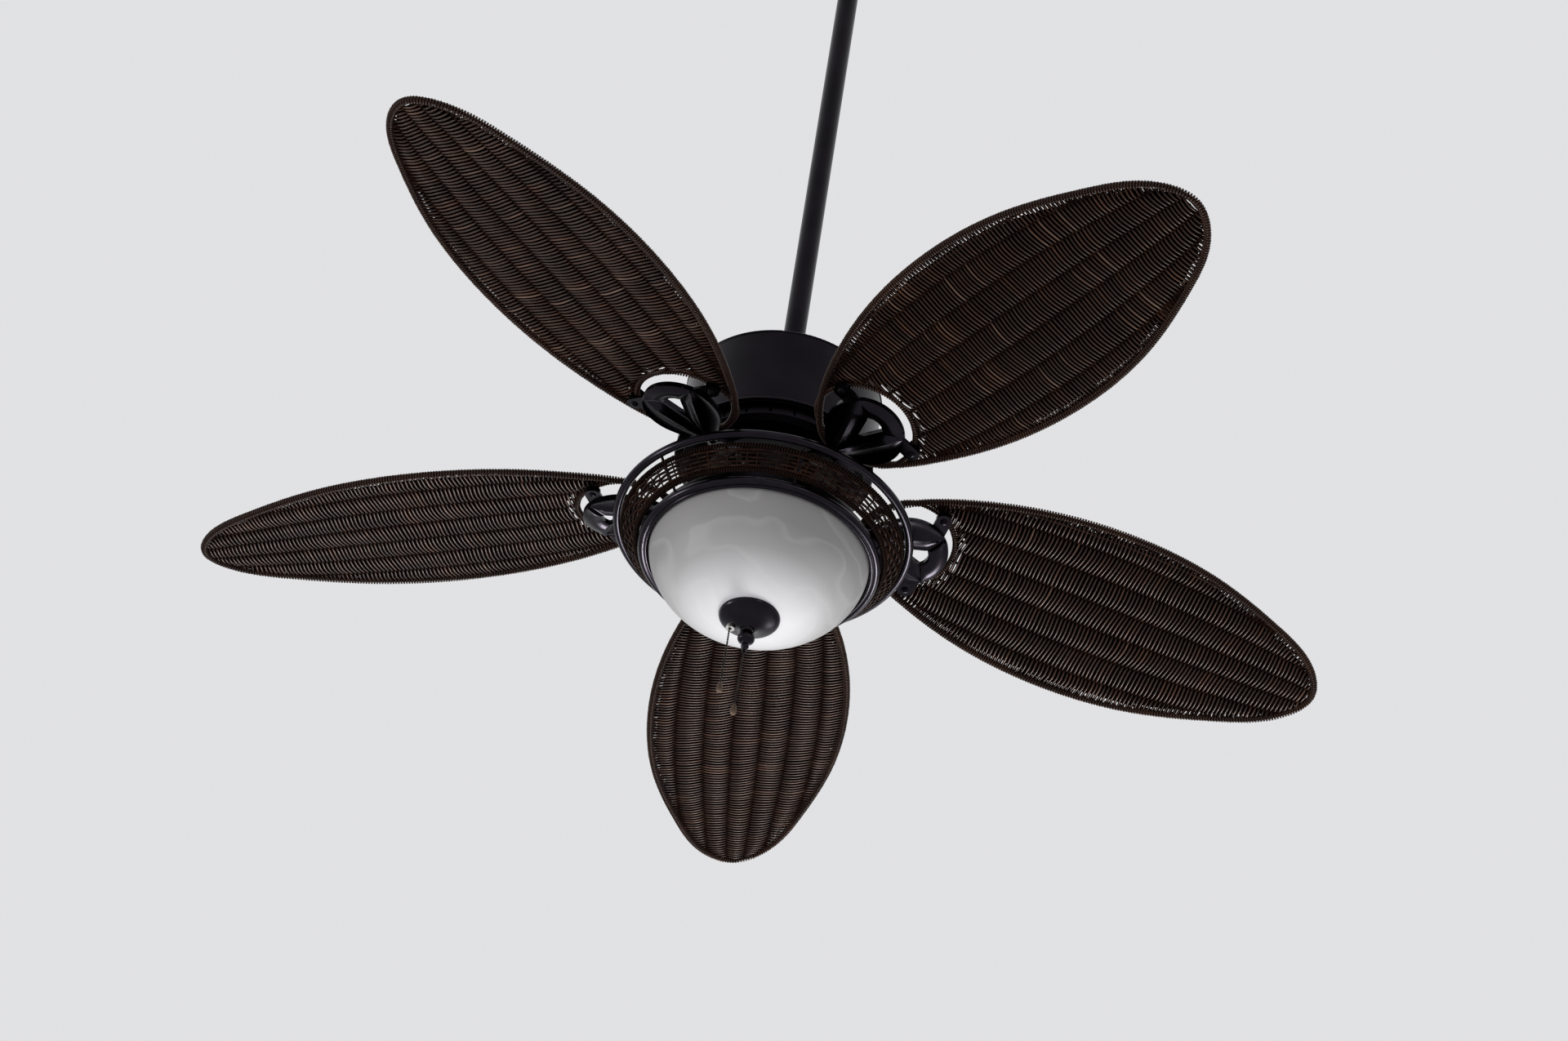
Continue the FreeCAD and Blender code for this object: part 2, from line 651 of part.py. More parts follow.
def switch_housing():
    body = tube(SWITCH_RADIUS, SWITCH_RADIUS - SHEET, SWITCH_FOOT, SWITCH_TOP)
    body = body.cut(box((-9, -SWITCH_RADIUS - 5, -25), (9, -SWITCH_RADIUS + 5, -19)))
    for copy in around(rod_between((40, 0, SWITCH_TOP - 3.5), (70, 0, SWITCH_TOP - 3.5), 1.7), 3, 35):
        body = body.cut(copy)
    return body


def reverse_switch():
    case = box((-13, -56.8, -29), (13, -43, -15))
    return case.cut(box((-9, -SWITCH_RADIUS - 5, -25), (9, -50, -19)))


def reverse_slider():
    """Small thumb piece in the reverse switch, at the left end of its slot."""
    body = box((-8.5, -SWITCH_RADIUS - 2.5, -24.5), (-1.5, -51, -19.5))
    for x in (-6.5, -5.0, -3.5):
        body = body.cut(box((x - 0.4, -SWITCH_RADIUS - 3, -26), (x + 0.4, -SWITCH_RADIUS - 1.8, -18)))
    return body


def pull_switch(point):
    """Round pull-chain switch, whose chain leaves its foot at a point."""
    body = Part.makeCylinder(9.5, 22, Vec(point[0], point[1], point[2] + 1))
    throat = Part.makeCylinder(2.6, 4, Vec(point[0], point[1], point[2]))
    return body.cut(Part.makeCylinder(2.0, 8, Vec(point[0], point[1], point[2] - 2))).fuse(
        throat.cut(Part.makeCylinder(2.0, 8, Vec(point[0], point[1], point[2] - 2))))


def light_fitter_pan():
    """Spun pan that carries the sockets, with a skirt outside the bowl's rim."""
    top = SWITCH_FOOT - GAP
    skirt = PAN_RADIUS
    profile = ((CENTRE_ROD_RADIUS + 0.1, top), (60, top), (104, -55.0), (121, -63.0),
               (skirt, -71.0), (skirt, PAN_FOOT), (skirt - SHEET, PAN_FOOT),
               (skirt - SHEET, -71.4), (120.2, -64.1), (103.6, -56.3), (60, top - SHEET),
               (CENTRE_ROD_RADIUS + 0.1, top - SHEET))
    body = polygon_ring(profile)
    fan_chain_hole = Part.makeCylinder(4.0, 20, Vec(FAN_CHAIN[0][0], FAN_CHAIN[0][1], top - 10))
    return body.cut(fan_chain_hole)


def lamp_sockets():
    length = SOCKET_LENGTH
    cup = tube(SOCKET_RADIUS, 0, 0, length).cut(tube(12.4, 0, 8, length + 1))
    tilt = math.radians(SOCKET_TILT)
    direction = (math.cos(tilt), 0, -math.sin(tilt))
    socket = placed(cup, (SOCKET_START, 0, SOCKET_HEIGHT), direction)
    top = SWITCH_FOOT - SHEET - 2 * GAP
    strap = box((SOCKET_START + 8, -5, SOCKET_HEIGHT + 2), (SOCKET_START + 10, 5, top))
    hollow = placed(tube(12.4, 0, 8, length), (SOCKET_START, 0, SOCKET_HEIGHT), direction)
    return around(socket.fuse(strap.cut(hollow)), 3, SOCKET_ANGLES[0])


def bulbs():
    points = ((12.0, 9.0), (12.0, 32.0), (14.0, 38.0), (20.0, 50.0), (21.5, 60.0),
              (18.0, 71.0), (9.0, 78.5), (0.0, 80.5))
    curve = curve_through(points[1:])
    base = [Part.makeLine(Vec(0, 0, 9), Vec(12, 0, 9)), Part.makeLine(Vec(12, 0, 9), Vec(12, 0, 32))]
    axis = Part.makeLine(Vec(0, 0, 80.5), Vec(0, 0, 9))
    glass = revolved(base + [curve.toShape(), axis])
    tilt = math.radians(SOCKET_TILT)
    direction = (math.cos(tilt), 0, -math.sin(tilt))
    lamp = placed(glass, (SOCKET_START, 0, SOCKET_HEIGHT), direction)
    return around(lamp, 3, SOCKET_ANGLES[0])


def upper_ring():
    return bead(UPPER_RING[0], UPPER_RING[1], RING_TUBE)


def lower_ring():
    """Rolled ring with a second, finer bead that frames the glass."""
    radius, height = LOWER_RING
    lip = bead(GLASS_RADIUS + 0.4 + LIP_TUBE, height - 3.6, LIP_TUBE)
    return bead(radius, height, RING_TUBE).fuse(lip)


def basket_line():
    """Middle of the band: its centre, its direction up the slope and its outward normal."""
    start = Vec(LOWER_RING[0], 0, LOWER_RING[1])
    end = Vec(UPPER_RING[0], 0, UPPER_RING[1])
    slope = end.sub(start).normalize()
    normal = Vec(slope.z, 0, -slope.x)
    middle = start.add(end).multiply(0.5).add(slope * BAND_OFFSET)
    return middle, slope, normal


def basket_posts():
    """Steel posts that tie the two rings together behind the woven band."""
    start = Vec(LOWER_RING[0], 0, LOWER_RING[1])
    end = Vec(UPPER_RING[0], 0, UPPER_RING[1])
    slope = end.sub(start).normalize()
    first = start.add(slope * (RING_TUBE - 0.6))
    last = end.sub(slope * (RING_TUBE - 0.6))
    ring_free = bead(UPPER_RING[0], UPPER_RING[1], RING_TUBE).fuse(
        bead(LOWER_RING[0], LOWER_RING[1], RING_TUBE))
    post = rod_between(tuple(first), tuple(last), POST_RADIUS).cut(ring_free)
    return around(post, POST_COUNT, POST_PHASE)


def wicker_band():
    middle, slope, normal = basket_line()
    corners = []
    for up, out in ((-1, -1), (1, -1), (1, 1), (-1, 1)):
        corner = middle.add(slope * (up * BAND_SPAN / 2)).add(normal * (out * BAND_THICKNESS / 2))
        corners.append((corner.x, corner.z))
    body = polygon_ring(corners)
    start = Vec(LOWER_RING[0], 0, LOWER_RING[1])
    end = Vec(UPPER_RING[0], 0, UPPER_RING[1])
    tunnel = rod_between(tuple(start), tuple(end), POST_RADIUS + GAP)
    for copy in around(tunnel, POST_COUNT, POST_PHASE):
        body = body.cut(copy)
    return body


def glass_bowl():
    """Half-ellipsoid bowl with a short upright rim and a hole at its lowest point."""
    centre = Vec(0, 0, GLASS_CENTRE)
    arcs = []
    for wall in (0.0, GLASS_WALL):
        side = Vec(GLASS_RADIUS - wall, 0, GLASS_CENTRE)
        low = Vec(0, 0, GLASS_CENTRE - GLASS_DEPTH + wall)
        arcs.append(Part.Ellipse(side, low, centre).toShape(0, math.pi / 2))
    outer, inner = GLASS_RADIUS, GLASS_RADIUS - GLASS_WALL
    lines = ((outer, GLASS_CENTRE, outer, GLASS_RIM), (outer, GLASS_RIM, inner, GLASS_RIM),
             (inner, GLASS_RIM, inner, GLASS_CENTRE),
             (0, GLASS_CENTRE - GLASS_DEPTH, 0, GLASS_CENTRE - GLASS_DEPTH + GLASS_WALL))
    for x1, z1, x2, z2 in lines:
        arcs.append(Part.makeLine(Vec(x1, 0, z1), Vec(x2, 0, z2)))
    return revolved(arcs).cut(tube(GLASS_HOLE, 0, -200, -150))


def finial_cap():
    body = spun_shell(CAP_PROFILE, SHEET)
    exit_point = FAN_CHAIN[1]
    return body.cut(Part.makeCylinder(4.3, 30, Vec(exit_point[0], exit_point[1], -195)))


def chain_grommet():
    x, y, height = FAN_CHAIN[1]
    sleeve = Part.makeCylinder(4.0, 6.5, Vec(x, y, height - 2))
    flange = Part.makeCylinder(4.9, 1.4, Vec(x, y, height - 3.4))
    return sleeve.fuse(flange).cut(Part.makeCylinder(2.0, 30, Vec(x, y, height - 15)))


def finial_nut():
    """Turned knob that draws the cap and bowl up, with the light chain down its middle."""
    top = FINIAL_PROFILE[0]
    foot = FINIAL_PROFILE[-1]
    edges = [curve_through(FINIAL_PROFILE).toShape(),
             Part.makeLine(Vec(0, 0, top[1]), Vec(top[0], 0, top[1])),
             Part.makeLine(Vec(foot[0], 0, foot[1]), Vec(0, 0, foot[1])),
             Part.makeLine(Vec(0, 0, foot[1]), Vec(0, 0, top[1]))]
    body = revolved(edges).cut(tube(CENTRE_ROD_RADIUS + FIT, 0, -200.3, top[1] + 1))
    return body.cut(tube(1.8, 0, foot[1] - 1, top[1]))


def make_light_kit():
    export("switch_mount_plate", switch_mount_plate())
    export("switch_housing", switch_housing())
    export("reverse_switch", reverse_switch())
    export("reverse_slider", reverse_slider())
    export("capacitor", box((16, 12, -40), (44, 32, -16)))
    export("fan_pull_switch", pull_switch(FAN_CHAIN[0]))
    export("light_pull_switch", pull_switch(LIGHT_CHAIN[0]))
    export("light_fitter_pan", light_fitter_pan())
    export("lamp_sockets", lamp_sockets())
    export("bulbs", bulbs())
    export("centre_rod", tube(CENTRE_ROD_RADIUS, CENTRE_ROD_BORE, -200, SWITCH_FOOT + 1))
    export("upper_ring", upper_ring())
    export("lower_ring", lower_ring())
    export("basket_posts", basket_posts())
    export("wicker_band", wicker_band())
    export("glass_bowl", glass_bowl())
    export("glass_washer", tube(30, 25, -173.2, -171.8))
    export("finial_cap", finial_cap())
    export("chain_grommet", chain_grommet())
    export("finial_nut", finial_nut())


# ---------------------------------------------------------------- pull chains

def hanging_tube(points, radius, name):
    """Tube along straight runs joined by one tangent arc at each inner point."""
    route = [Vec(*point) for point in points]
    edges = []
    start = route[0]
    for before, corner, after in zip(route, route[1:], route[2:]):
        inward = corner.sub(before)
        outward = after.sub(corner)
        shorter = min(inward.Length, outward.Length)
        half_turn = inward.getAngle(outward) / 2
        arc_radius = 0.45 * shorter / math.tan(half_turn)
        reach = 0.45 * shorter
        inward.normalize()
        outward.normalize()
        entry = corner.sub(inward * reach)
        leave = corner.add(outward * reach)
        to_centre = outward.sub(inward).normalize()
        middle = corner.add(to_centre * (arc_radius / math.cos(half_turn) - arc_radius))
        edges.append(Part.LineSegment(start, entry).toShape())
        edges.append(Part.Arc(entry, middle, leave).toShape())
        start = leave
        print(name, "bend radius", round(arc_radius), "mm")
    edges.append(Part.LineSegment(start, route[-1]).toShape())
    path = Part.Wire(edges)
    direction = route[1].sub(route[0])
    ring = Part.Wire([Part.Circle(route[0], direction, radius).toShape()])
    body = path.makePipeShell([ring], True, True)
    expected = math.pi * radius ** 2 * path.Length
    print(name, "length", round(path.Length, 1), "mm, volume", round(body.Volume / expected, 4),
          "of section times length")
    return body


def fob(end):
    """Small turned weight on the end of a chain."""
    low = end[2] - FOB_LENGTH
    points = ((FOB_RADIUS * 0.55, end[2]), (FOB_RADIUS * 0.75, end[2] - 2.0),
              (FOB_RADIUS, low + 5.0), (FOB_RADIUS, low + 1.5), (FOB_RADIUS * 0.8, low))
    edges = [curve_through(points).toShape(),
             Part.makeLine(Vec(0, 0, end[2]), Vec(points[0][0], 0, end[2])),
             Part.makeLine(Vec(points[-1][0], 0, low), Vec(0, 0, low)),
             Part.makeLine(Vec(0, 0, low), Vec(0, 0, end[2]))]
    body = revolved(edges)
    body.translate(Vec(end[0], end[1], 0))
    return body


def make_pull_chains():
    for name, route in (("fan_chain", FAN_CHAIN), ("light_chain", LIGHT_CHAIN)):
        export(name, hanging_tube(route, CHAIN_RADIUS, name))
        export(name + "_fob", fob(route[-1]))


os.makedirs("parts", exist_ok=True)
make_ceiling_end()
make_motor()
make_blades()
make_light_kit()
make_pull_chains()
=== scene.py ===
"""Looks of a ceiling fan with five woven leaf blades and a glass bowl light.

Metres, in the part's own frame: the fan hangs below z = 0 on the Z axis. Every woven strand is
modelled as a tube of its own, around the places that the frame's plain solids hold.
"""
import math

import bmesh
import bpy
import numpy as np
from mathutils import Matrix, Quaternion, Vector
from mathutils.geometry import convex_hull_2d


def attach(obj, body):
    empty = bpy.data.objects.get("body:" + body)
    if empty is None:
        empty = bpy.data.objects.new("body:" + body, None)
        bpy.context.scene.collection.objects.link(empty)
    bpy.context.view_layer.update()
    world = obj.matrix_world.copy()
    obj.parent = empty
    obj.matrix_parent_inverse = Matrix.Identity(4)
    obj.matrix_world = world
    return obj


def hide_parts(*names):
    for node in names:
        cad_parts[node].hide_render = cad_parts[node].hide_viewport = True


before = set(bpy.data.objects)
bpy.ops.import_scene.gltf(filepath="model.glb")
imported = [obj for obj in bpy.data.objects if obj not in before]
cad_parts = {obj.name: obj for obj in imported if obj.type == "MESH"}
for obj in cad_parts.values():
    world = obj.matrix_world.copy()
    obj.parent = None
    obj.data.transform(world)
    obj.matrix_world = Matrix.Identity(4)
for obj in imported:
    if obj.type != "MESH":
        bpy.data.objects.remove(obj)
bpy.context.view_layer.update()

# Camera
CAMERA_PLACE = (0.3916, -3.0814, -3.8162)
CAMERA_AZIMUTH = -6.852       # degrees from +Y towards +X
CAMERA_ELEVATION = 40.674
CAMERA_ROLL = 8.792
CAMERA_LENS = 84.12

# Blades, as in the part's source
BLADE_COUNT = 5
FIRST_BLADE_ANGLE = 22.75
BLADE_PITCH = -12.44
BLADE_DROOP = 2.06
BLADE_MID_RADIUS = 0.400
BLADE_PLANE_Z = -1.122
OPENING_CENTRE = 0.165
OPENING_RADIUS = 0.055
OPENING_DEPTH = 0.043         # from the opening's centre towards the hub

# Weave
ROW_PITCH = 0.0024
STRAND_RADIUS = 0.00138
WAVE_HEIGHT = 0.0026          # of a strand's middle over a stake
STAKE_RADIUS = 0.0016
BED_PITCH = 0.0021            # of the hidden inner strands along the blade
BED_RADIUS = 0.00115
BED_MARGIN = 0.0130           # bare zone inside the rim, where the rows spread
LANE_BASE = 0.016             # spacing of the stakes is this ...
LANE_SHARE = 0.155            # ... plus this share of the blade's half width
LANES = 3                     # stakes each side of the middle one
RIM_RADIUS = 0.0044
OPENING_RIM = 0.0036
WRAP_RADIUS = 0.00130
WRAP_PITCH = 0.0032
SLANT_STEP = 0.006            # each way, when measuring the rim's slant
RIM_TURN = 0.75               # share of the rim's slant that a row's end takes up
WAVE_SQUARE = 0.9             # how flat the top of a strand's wave is
DRIFT = 0.0011                # that rows wander off straight, together with their neighbours
DRIFT_WAVES = ((95, 22, 1.3, 1.0), (41, -37, 0.0, 0.7))      # rates across and along, start, share
PAIR_SHIFT = 0.0013           # that neighbouring rows close up in pairs at the rim
LOOSE_MEAN = 0.45             # how open the pairs stand on average, and how that comes and goes
LOOSE_WAVES = ((15, 0.5), (47, 0.35))                        # rate along the blade, share
LOOSEST = 1.2                 # share of that shift that a pair takes at most
ROW_JITTER = 0.0002
STRAND_SPREAD = (0.93, 1.06)  # of the strands' radii
SAMPLE_STEP = 0.0008          # along a row, when looking for its end
SAMPLES_A_POINT = 5
SHORTEST_ROW = 8              # samples
SEARCH_PAST = 0.004           # beyond the half width, for rows that lean
PULL_LENGTH = 0.014           # stretch at the rim where rows close up in pairs
FLAT_LENGTH = 0.022           # ... where their wave dies away
CALM_LENGTH = 0.020           # ... and where they stop wandering
OPENING_PULL = 0.012          # the same at the opening
OPENING_FLAT = 0.018
OPENING_OVERLAP = 0.001       # that rows reach into the opening's rim
RIM_FLATNESS = 0.92
STRAND_SIDES = 6
STAKE_STEP = 0.004
STAKE_ENDS = (0.006, 0.008)   # gaps to the blade's root and tip
STAKE_CLEAR = 0.004           # gap to the outline
BED_SIDES = 4

# Wound rims
OUTLINE_STEP = 0.0015
CORE_SHADE = 0.2
CORE_SIDES = 8
TURN_POINTS = 8               # points of the winding strand in each turn
WRAP_SPREAD = 0.12
WRAP_SHADE = 0.75             # shade of the palest piece of winding
WRAP_PIECES = 12

# Blade irons, in blade axes
IRON_CENTRE = 0.172
IRON_RADIUS = 0.0448
IRON_NECK = ((0.110, 0.0092), (0.119, 0.0098), (0.128, 0.0213))
IRON_FACE = -0.0131           # lower face of the plain plate
IRON_BACK = -0.0090
IRON_STEPS = 34               # points along a leaf
PLATE_POINTS = 30             # ... and along the plate's round edge beside it
ARCH_ANGLE = 48.5             # from the blade's length to the leaves' tips, seen from the centre
NECK_ANGLE = 132
LEAF_RIDGE = ((0.110, 0.0006), (0.124, 0.0018), (0.201, 0.0325))
LEAF_INNER = ((0.110, 0.0), (0.1585, 0.0), (0.1905, 0.011), (0.201, 0.0322))
ARCH_INNER = ((0.1905, 0.011), (0.1938, 0.006), (0.195, 0.0), (0.1938, -0.006), (0.1905, -0.011))
FULL_WIDTH = 0.030            # of a leaf, where its relief is full
THINNEST = 0.25               # share of the relief where the leaf is narrow
ARCH_EDGE = 0.0012
ARCH_CROWN = 0.0034
ARCH_STEPS = 11               # points across the arch
ARCH_POINTS = 17              # ... along its inner edge
ARCH_FOOT = 5                 # ... and along each foot, beside a leaf's tip
IRON_EDGE = 0.0006            # rounding of its edges
IRON_WELD = 0.00025           # points nearer than this become one
IRON_SMOOTH = 24              # degrees up to which neighbouring faces are shaded as one
IRON_CORNER = 50              # degrees from which an edge is rounded
LEAF_FALL = (0.0012, 0.0008, 0.0006, 0.0008, 0.0013, 0.0020, 0.0030, 0.0040)
LEAF_RISE = (0.0050, 0.0036, 0.0023, 0.0013, 0.0007, 0.0005, 0.0007, 0.0013, 0.0024)

ENAMELLED = ("flywheel", "rotor_upper_shell", "rotor_lower_shell", "iron_screws")
POLISHED = ("upper_ring", "lower_ring", "finial_cap", "finial_nut",
            *(f"blade_iron_{number}" for number in range(1, BLADE_COUNT + 1)))

# Basket round the glass, with the rings' radii and their heights from the blades' plane
RING_UPPER = (0.1639, -0.049)
RING_LOWER = (0.1306, -0.087)
BAND_SPAN = 0.031
BAND_OFFSET = 0.0003
BAND_STAKES = 84
BAND_ROWS = 5
BAND_EDGES = 0.0095           # width that the two wound edges take
BAND_WAVE = 0.0015
BAND_STRAND = 0.0016
BAND_STAKE = 0.0009
BAND_STAKE_END = 0.003        # gap from a stake's end to the band's edge
BAND_STAKE_POINTS = 7
BAND_LEAN = 0.004             # radians that a stake may lean each way
BAND_WANDER = 0.0003
BAND_WAVES = (5, 9, 14, 23)
BAND_POINTS = 6               # points of a row from stake to stake
BAND_BEHIND = 0.004           # of a point inside the band, which tells the way out
EDGE_CORE = 0.0014
EDGE_WINDING = 0.0010
EDGE_TURNS = 300
EDGE_RISE = 0.001
EDGE_SPREAD = 0.06

# Heights between which the glass's colour grows paler: painted shade at the top, painted light towards
# the foot
GLASS_SHADE_TOP = -1.200
GLASS_LIGHT_LOW = -1.290

# Pull chains, as in the part's source
CHAIN_RADIUS = 0.0012
BEAD_SPACING = 0.0030
WIRE_RADIUS = 0.0004
FAN_CHAIN = ((-0.0215, 0.0042, -1.166), (-0.0198, 0.0051, -1.303), (-0.0206, 0.0049, -1.382))
LIGHT_CHAIN = ((0.0, 0.0, -1.166), (0.0, -0.0002, -1.335), (-0.0012, -0.0004, -1.415))
BEAD_RINGS = 5
BEAD_SIDES = 10

# Stage
FLOOR_Z = -11.0
FLOOR_HALF = 40.0
LIGHTS_TARGET = (0, 0, -1.15)


# ---------------------------------------------------------------- camera

def make_camera():
    """The photographer's view: from below, a little to the right, slightly rolled."""
    camera = bpy.data.objects.new("camera", bpy.data.cameras.new("camera"))
    bpy.context.scene.collection.objects.link(camera)
    azimuth, elevation = math.radians(CAMERA_AZIMUTH), math.radians(CAMERA_ELEVATION)
    aim = Vector((math.sin(azimuth) * math.cos(elevation),
                  math.cos(azimuth) * math.cos(elevation), math.sin(elevation)))
    camera.location = CAMERA_PLACE
    camera.rotation_mode = "QUATERNION"
    roll = Quaternion((0, 0, 1), math.radians(CAMERA_ROLL))
    camera.rotation_quaternion = aim.to_track_quat("-Z", "Y") @ roll
    camera.data.lens = CAMERA_LENS
    camera.data.sensor_width = 36
    camera.data.clip_end = 100
    bpy.context.scene.camera = camera


# ---------------------------------------------------------------- strands

class Bundle:
    """Strands gathered into one mesh.

    Each point keeps its strand's shade and a share of painted light: 1 where it lies uppermost in the
    weave, for a painted highlight, and 0 where it lies low, for painted shade. With a wave height,
    either face of the mesh's own plane is uppermost; without one, the side that the reference points to.
    """

    def __init__(self, wave=None):
        self.wave = wave
        self.points = []
        self.painted_lights = []
        self.faces = []
        self.shades = []
        self.count = 0

    def add(self, line, reference, radius, shade, sides=STRAND_SIDES, closed=False, painted_dark=False):
        """A tube along a line. reference points sideways from the line, one vector or one a point."""
        line = np.asarray(line, float)
        if closed:
            along = np.roll(line, -1, axis=0) - np.roll(line, 1, axis=0)
        else:
            along = np.gradient(line, axis=0)
        along /= np.linalg.norm(along, axis=1)[:, None]
        reference = np.broadcast_to(np.asarray(reference, float), line.shape)
        side = reference - (reference * along).sum(1)[:, None] * along
        side /= np.linalg.norm(side, axis=1)[:, None]
        other = np.cross(along, side)
        angles = np.arange(sides) * 2 * math.pi / sides
        radii = np.broadcast_to(np.asarray(radius, float), (len(line),))[:, None, None]
        around = (np.cos(angles)[None, :, None] * side[:, None, :]
                  + np.sin(angles)[None, :, None] * other[:, None, :])
        rings = line[:, None, :] + radii * around
        self.points.append(rings.reshape(-1, 3))
        self.shades.append(np.full(len(line) * sides, shade))
        # Painted light: paler on the side that the reference points to, painted shade on the far side.
        painted_light = np.tile(0.5 + 0.5 * np.cos(angles), len(line))
        if self.wave:
            # With a wave height, the painted light follows whichever face stands proud of the weave
            # there.
            facing = around[:, :, 2]
            painted_light = (facing * line[:, None, 2] / self.wave + 0.5 * np.abs(facing)).ravel()
        # A strand that is drawn wholly dark takes none of it: painted shade all round.
        self.painted_lights.append(np.zeros(len(painted_light)) if painted_dark else np.clip(painted_light, 0, 1))
        last = len(line) if closed else len(line) - 1
        ring = np.arange(last)[:, None]
        corner = np.arange(sides)[None, :]
        following = (ring + 1) % len(line)
        quads = np.stack([ring * sides + corner, ring * sides + (corner + 1) % sides,
                          following * sides + (corner + 1) % sides, following * sides + corner],
                         axis=-1).reshape(-1, 4)
        faces = [quads]
        if not closed:
            end = (len(line) - 1) * sides
            for k in range(1, sides - 2, 2):
                faces.append(np.array([[0, k + 2, k + 1, k]]))
                faces.append(np.array([[end, end + k, end + k + 1, end + k + 2]]))
        self.faces.append(np.concatenate(faces) + self.count)
        self.count += len(line) * sides

    def make(self, name, material, matrix=None):
        """The strands so far as one object, moved by a matrix if there is one."""
        points = np.concatenate(self.points)
        if matrix is not None:
            turn = np.array(matrix)
            points = points @ turn[:3, :3].T + turn[:3, 3]
        mesh = bpy.data.meshes.new(name)
        mesh.from_pydata(points, [], np.concatenate(self.faces))
        kept = {"shade": np.concatenate(self.shades), "painted_light": np.concatenate(self.painted_lights)}
        for label, values in kept.items():
            attribute = mesh.attributes.new(label, "FLOAT", "POINT")
            attribute.data.foreach_set("value", values.astype(np.float32))
        mesh.shade_smooth()
        mesh.materials.append(material)
        piece = bpy.data.objects.new(name, mesh)
        bpy.context.scene.collection.objects.link(piece)
        return piece


def smooth_step(value):
    """0 below 0, 1 above 1, and an S-shaped rise in between."""
    value = np.clip(value, 0, 1)
    return value * value * (3 - 2 * value)


def distances(line):
    """How far along a line each of its points lies."""
    return np.concatenate([[0], np.cumsum(np.linalg.norm(np.diff(line, axis=0), axis=1))])


def points_at(line, at):
    """The points that lie at given distances along a line."""
    run = distances(line)
    return np.stack([np.interp(at, run, line[:, k]) for k in range(line.shape[1])], axis=1)


def evenly(line, step):
    """The same line with points an even step apart."""
    length = distances(line)[-1]
    return points_at(line, np.linspace(0, length, max(3, int(round(length / step)) + 1)))


def along_line(points, count):
    """A number of evenly spaced points on a broken line."""
    points = np.array(points, float)
    return points_at(points, np.linspace(0, distances(points)[-1], count))


# ---------------------------------------------------------------- blades

def blade_matrix(number):
    """From blade axes (along, across, up) to the fan's: pitched, drooped and turned."""
    turn = Matrix.Rotation(math.radians(FIRST_BLADE_ANGLE + number * 360 / BLADE_COUNT), 4, "Z")
    droop = Matrix.Rotation(math.radians(BLADE_DROOP), 4, "Y")
    pitch = Matrix.Rotation(math.radians(BLADE_PITCH), 4, "X")
    out = Matrix.Translation((BLADE_MID_RADIUS, 0, 0))
    return Matrix.Translation((0, 0, BLADE_PLANE_Z)) @ turn @ out @ droop @ pitch @ out.inverted()


def blade_outline():
    """The blade's outer edge from the frame, in blade axes, as evenly spaced points."""
    back = np.array(blade_matrix(0).inverted())
    corners = np.array([v.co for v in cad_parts["blade_1"].data.vertices])
    flat = (corners @ back[:3, :3].T + back[:3, 3])[:, :2]
    hull = flat[convex_hull_2d([Vector(p) for p in flat])]
    return evenly(np.vstack([hull, hull[:1]]), OUTLINE_STEP)[:-1]


class Blade:
    """Outline of a blade and the lanes of its stakes, in blade axes."""

    def __init__(self):
        self.outline = blade_outline()
        side = self.outline[self.outline[:, 1] > 0]
        side = side[np.argsort(side[:, 0])]
        self.start, self.tip = self.outline[:, 0].min(), self.outline[:, 0].max()
        self.along = np.concatenate([[self.start], side[:, 0], [self.tip]])
        self.half = np.concatenate([[0], side[:, 1], [0]])

    def half_width(self, s):
        """From the blade's middle line to its outline at s."""
        return np.interp(s, self.along, self.half, left=0, right=0)

    def slant(self, s):
        """How far the rim leans from the blade's length, in radians, positive towards the tip."""
        step = SLANT_STEP
        change = self.half_width(s + step) - self.half_width(s - step)
        return -math.atan2(change, 2 * step)

    def lane(self, s):
        """Spacing of the stakes at s."""
        return LANE_BASE + LANE_SHARE * self.half_width(s)

    def opening_half(self, s, grow=0.0):
        """Half width at s of the opening, grown by a margin, with 0 where there is none."""
        depth = (OPENING_RADIUS if s > OPENING_CENTRE else OPENING_DEPTH) + grow
        share = (s - OPENING_CENTRE) / depth
        return (OPENING_RADIUS + grow) * math.sqrt(max(0.0, 1 - share * share))


def drift(s, t):
    """How far a row wanders along the blade at each t, in step with its neighbours."""
    return sum(share * np.sin(across * t + along * s + first)
               for across, along, first, share in DRIFT_WAVES)


def row_points(blade, s, side, start, parity, gather):
    """One side of a row, from t = start out to the rim, as (s, t, n)."""
    reach = blade.half_width(s)
    across = np.arange(start, reach + SEARCH_PAST, SAMPLE_STEP)
    lane = blade.lane(s)
    outer = np.clip((across - (reach - lane)) / lane, 0, 1)
    lean = math.tan(RIM_TURN * blade.slant(s))
    along = s + 0.5 * lane * outer * outer * lean
    inside = np.flatnonzero(across <= blade.half_width(along) - RIM_RADIUS)
    if len(inside) < SHORTEST_ROW:
        return None
    last = inside[-1]
    picked = np.unique(np.append(np.arange(0, last, SAMPLES_A_POINT), last))
    across, along = across[picked], along[picked]
    left = across[-1] - across
    pull = smooth_step(1 - left / PULL_LENGTH)
    flat = smooth_step(1 - left / FLAT_LENGTH)
    calm = smooth_step(left / CALM_LENGTH)
    along = along + DRIFT * calm * drift(s, side * across)
    if start:
        pull = np.maximum(pull, smooth_step(1 - (across - start) / OPENING_PULL))
        flat = np.maximum(flat, smooth_step(1 - (across - start) / OPENING_FLAT))
    along = along + side * parity * gather * PAIR_SHIFT * pull
    swing = np.tanh(WAVE_SQUARE * np.cos(math.pi * across / lane)) / math.tanh(WAVE_SQUARE)
    height = parity * WAVE_HEIGHT * swing * (1 - RIM_FLATNESS * flat)
    return np.stack([along, side * across, height], axis=1)


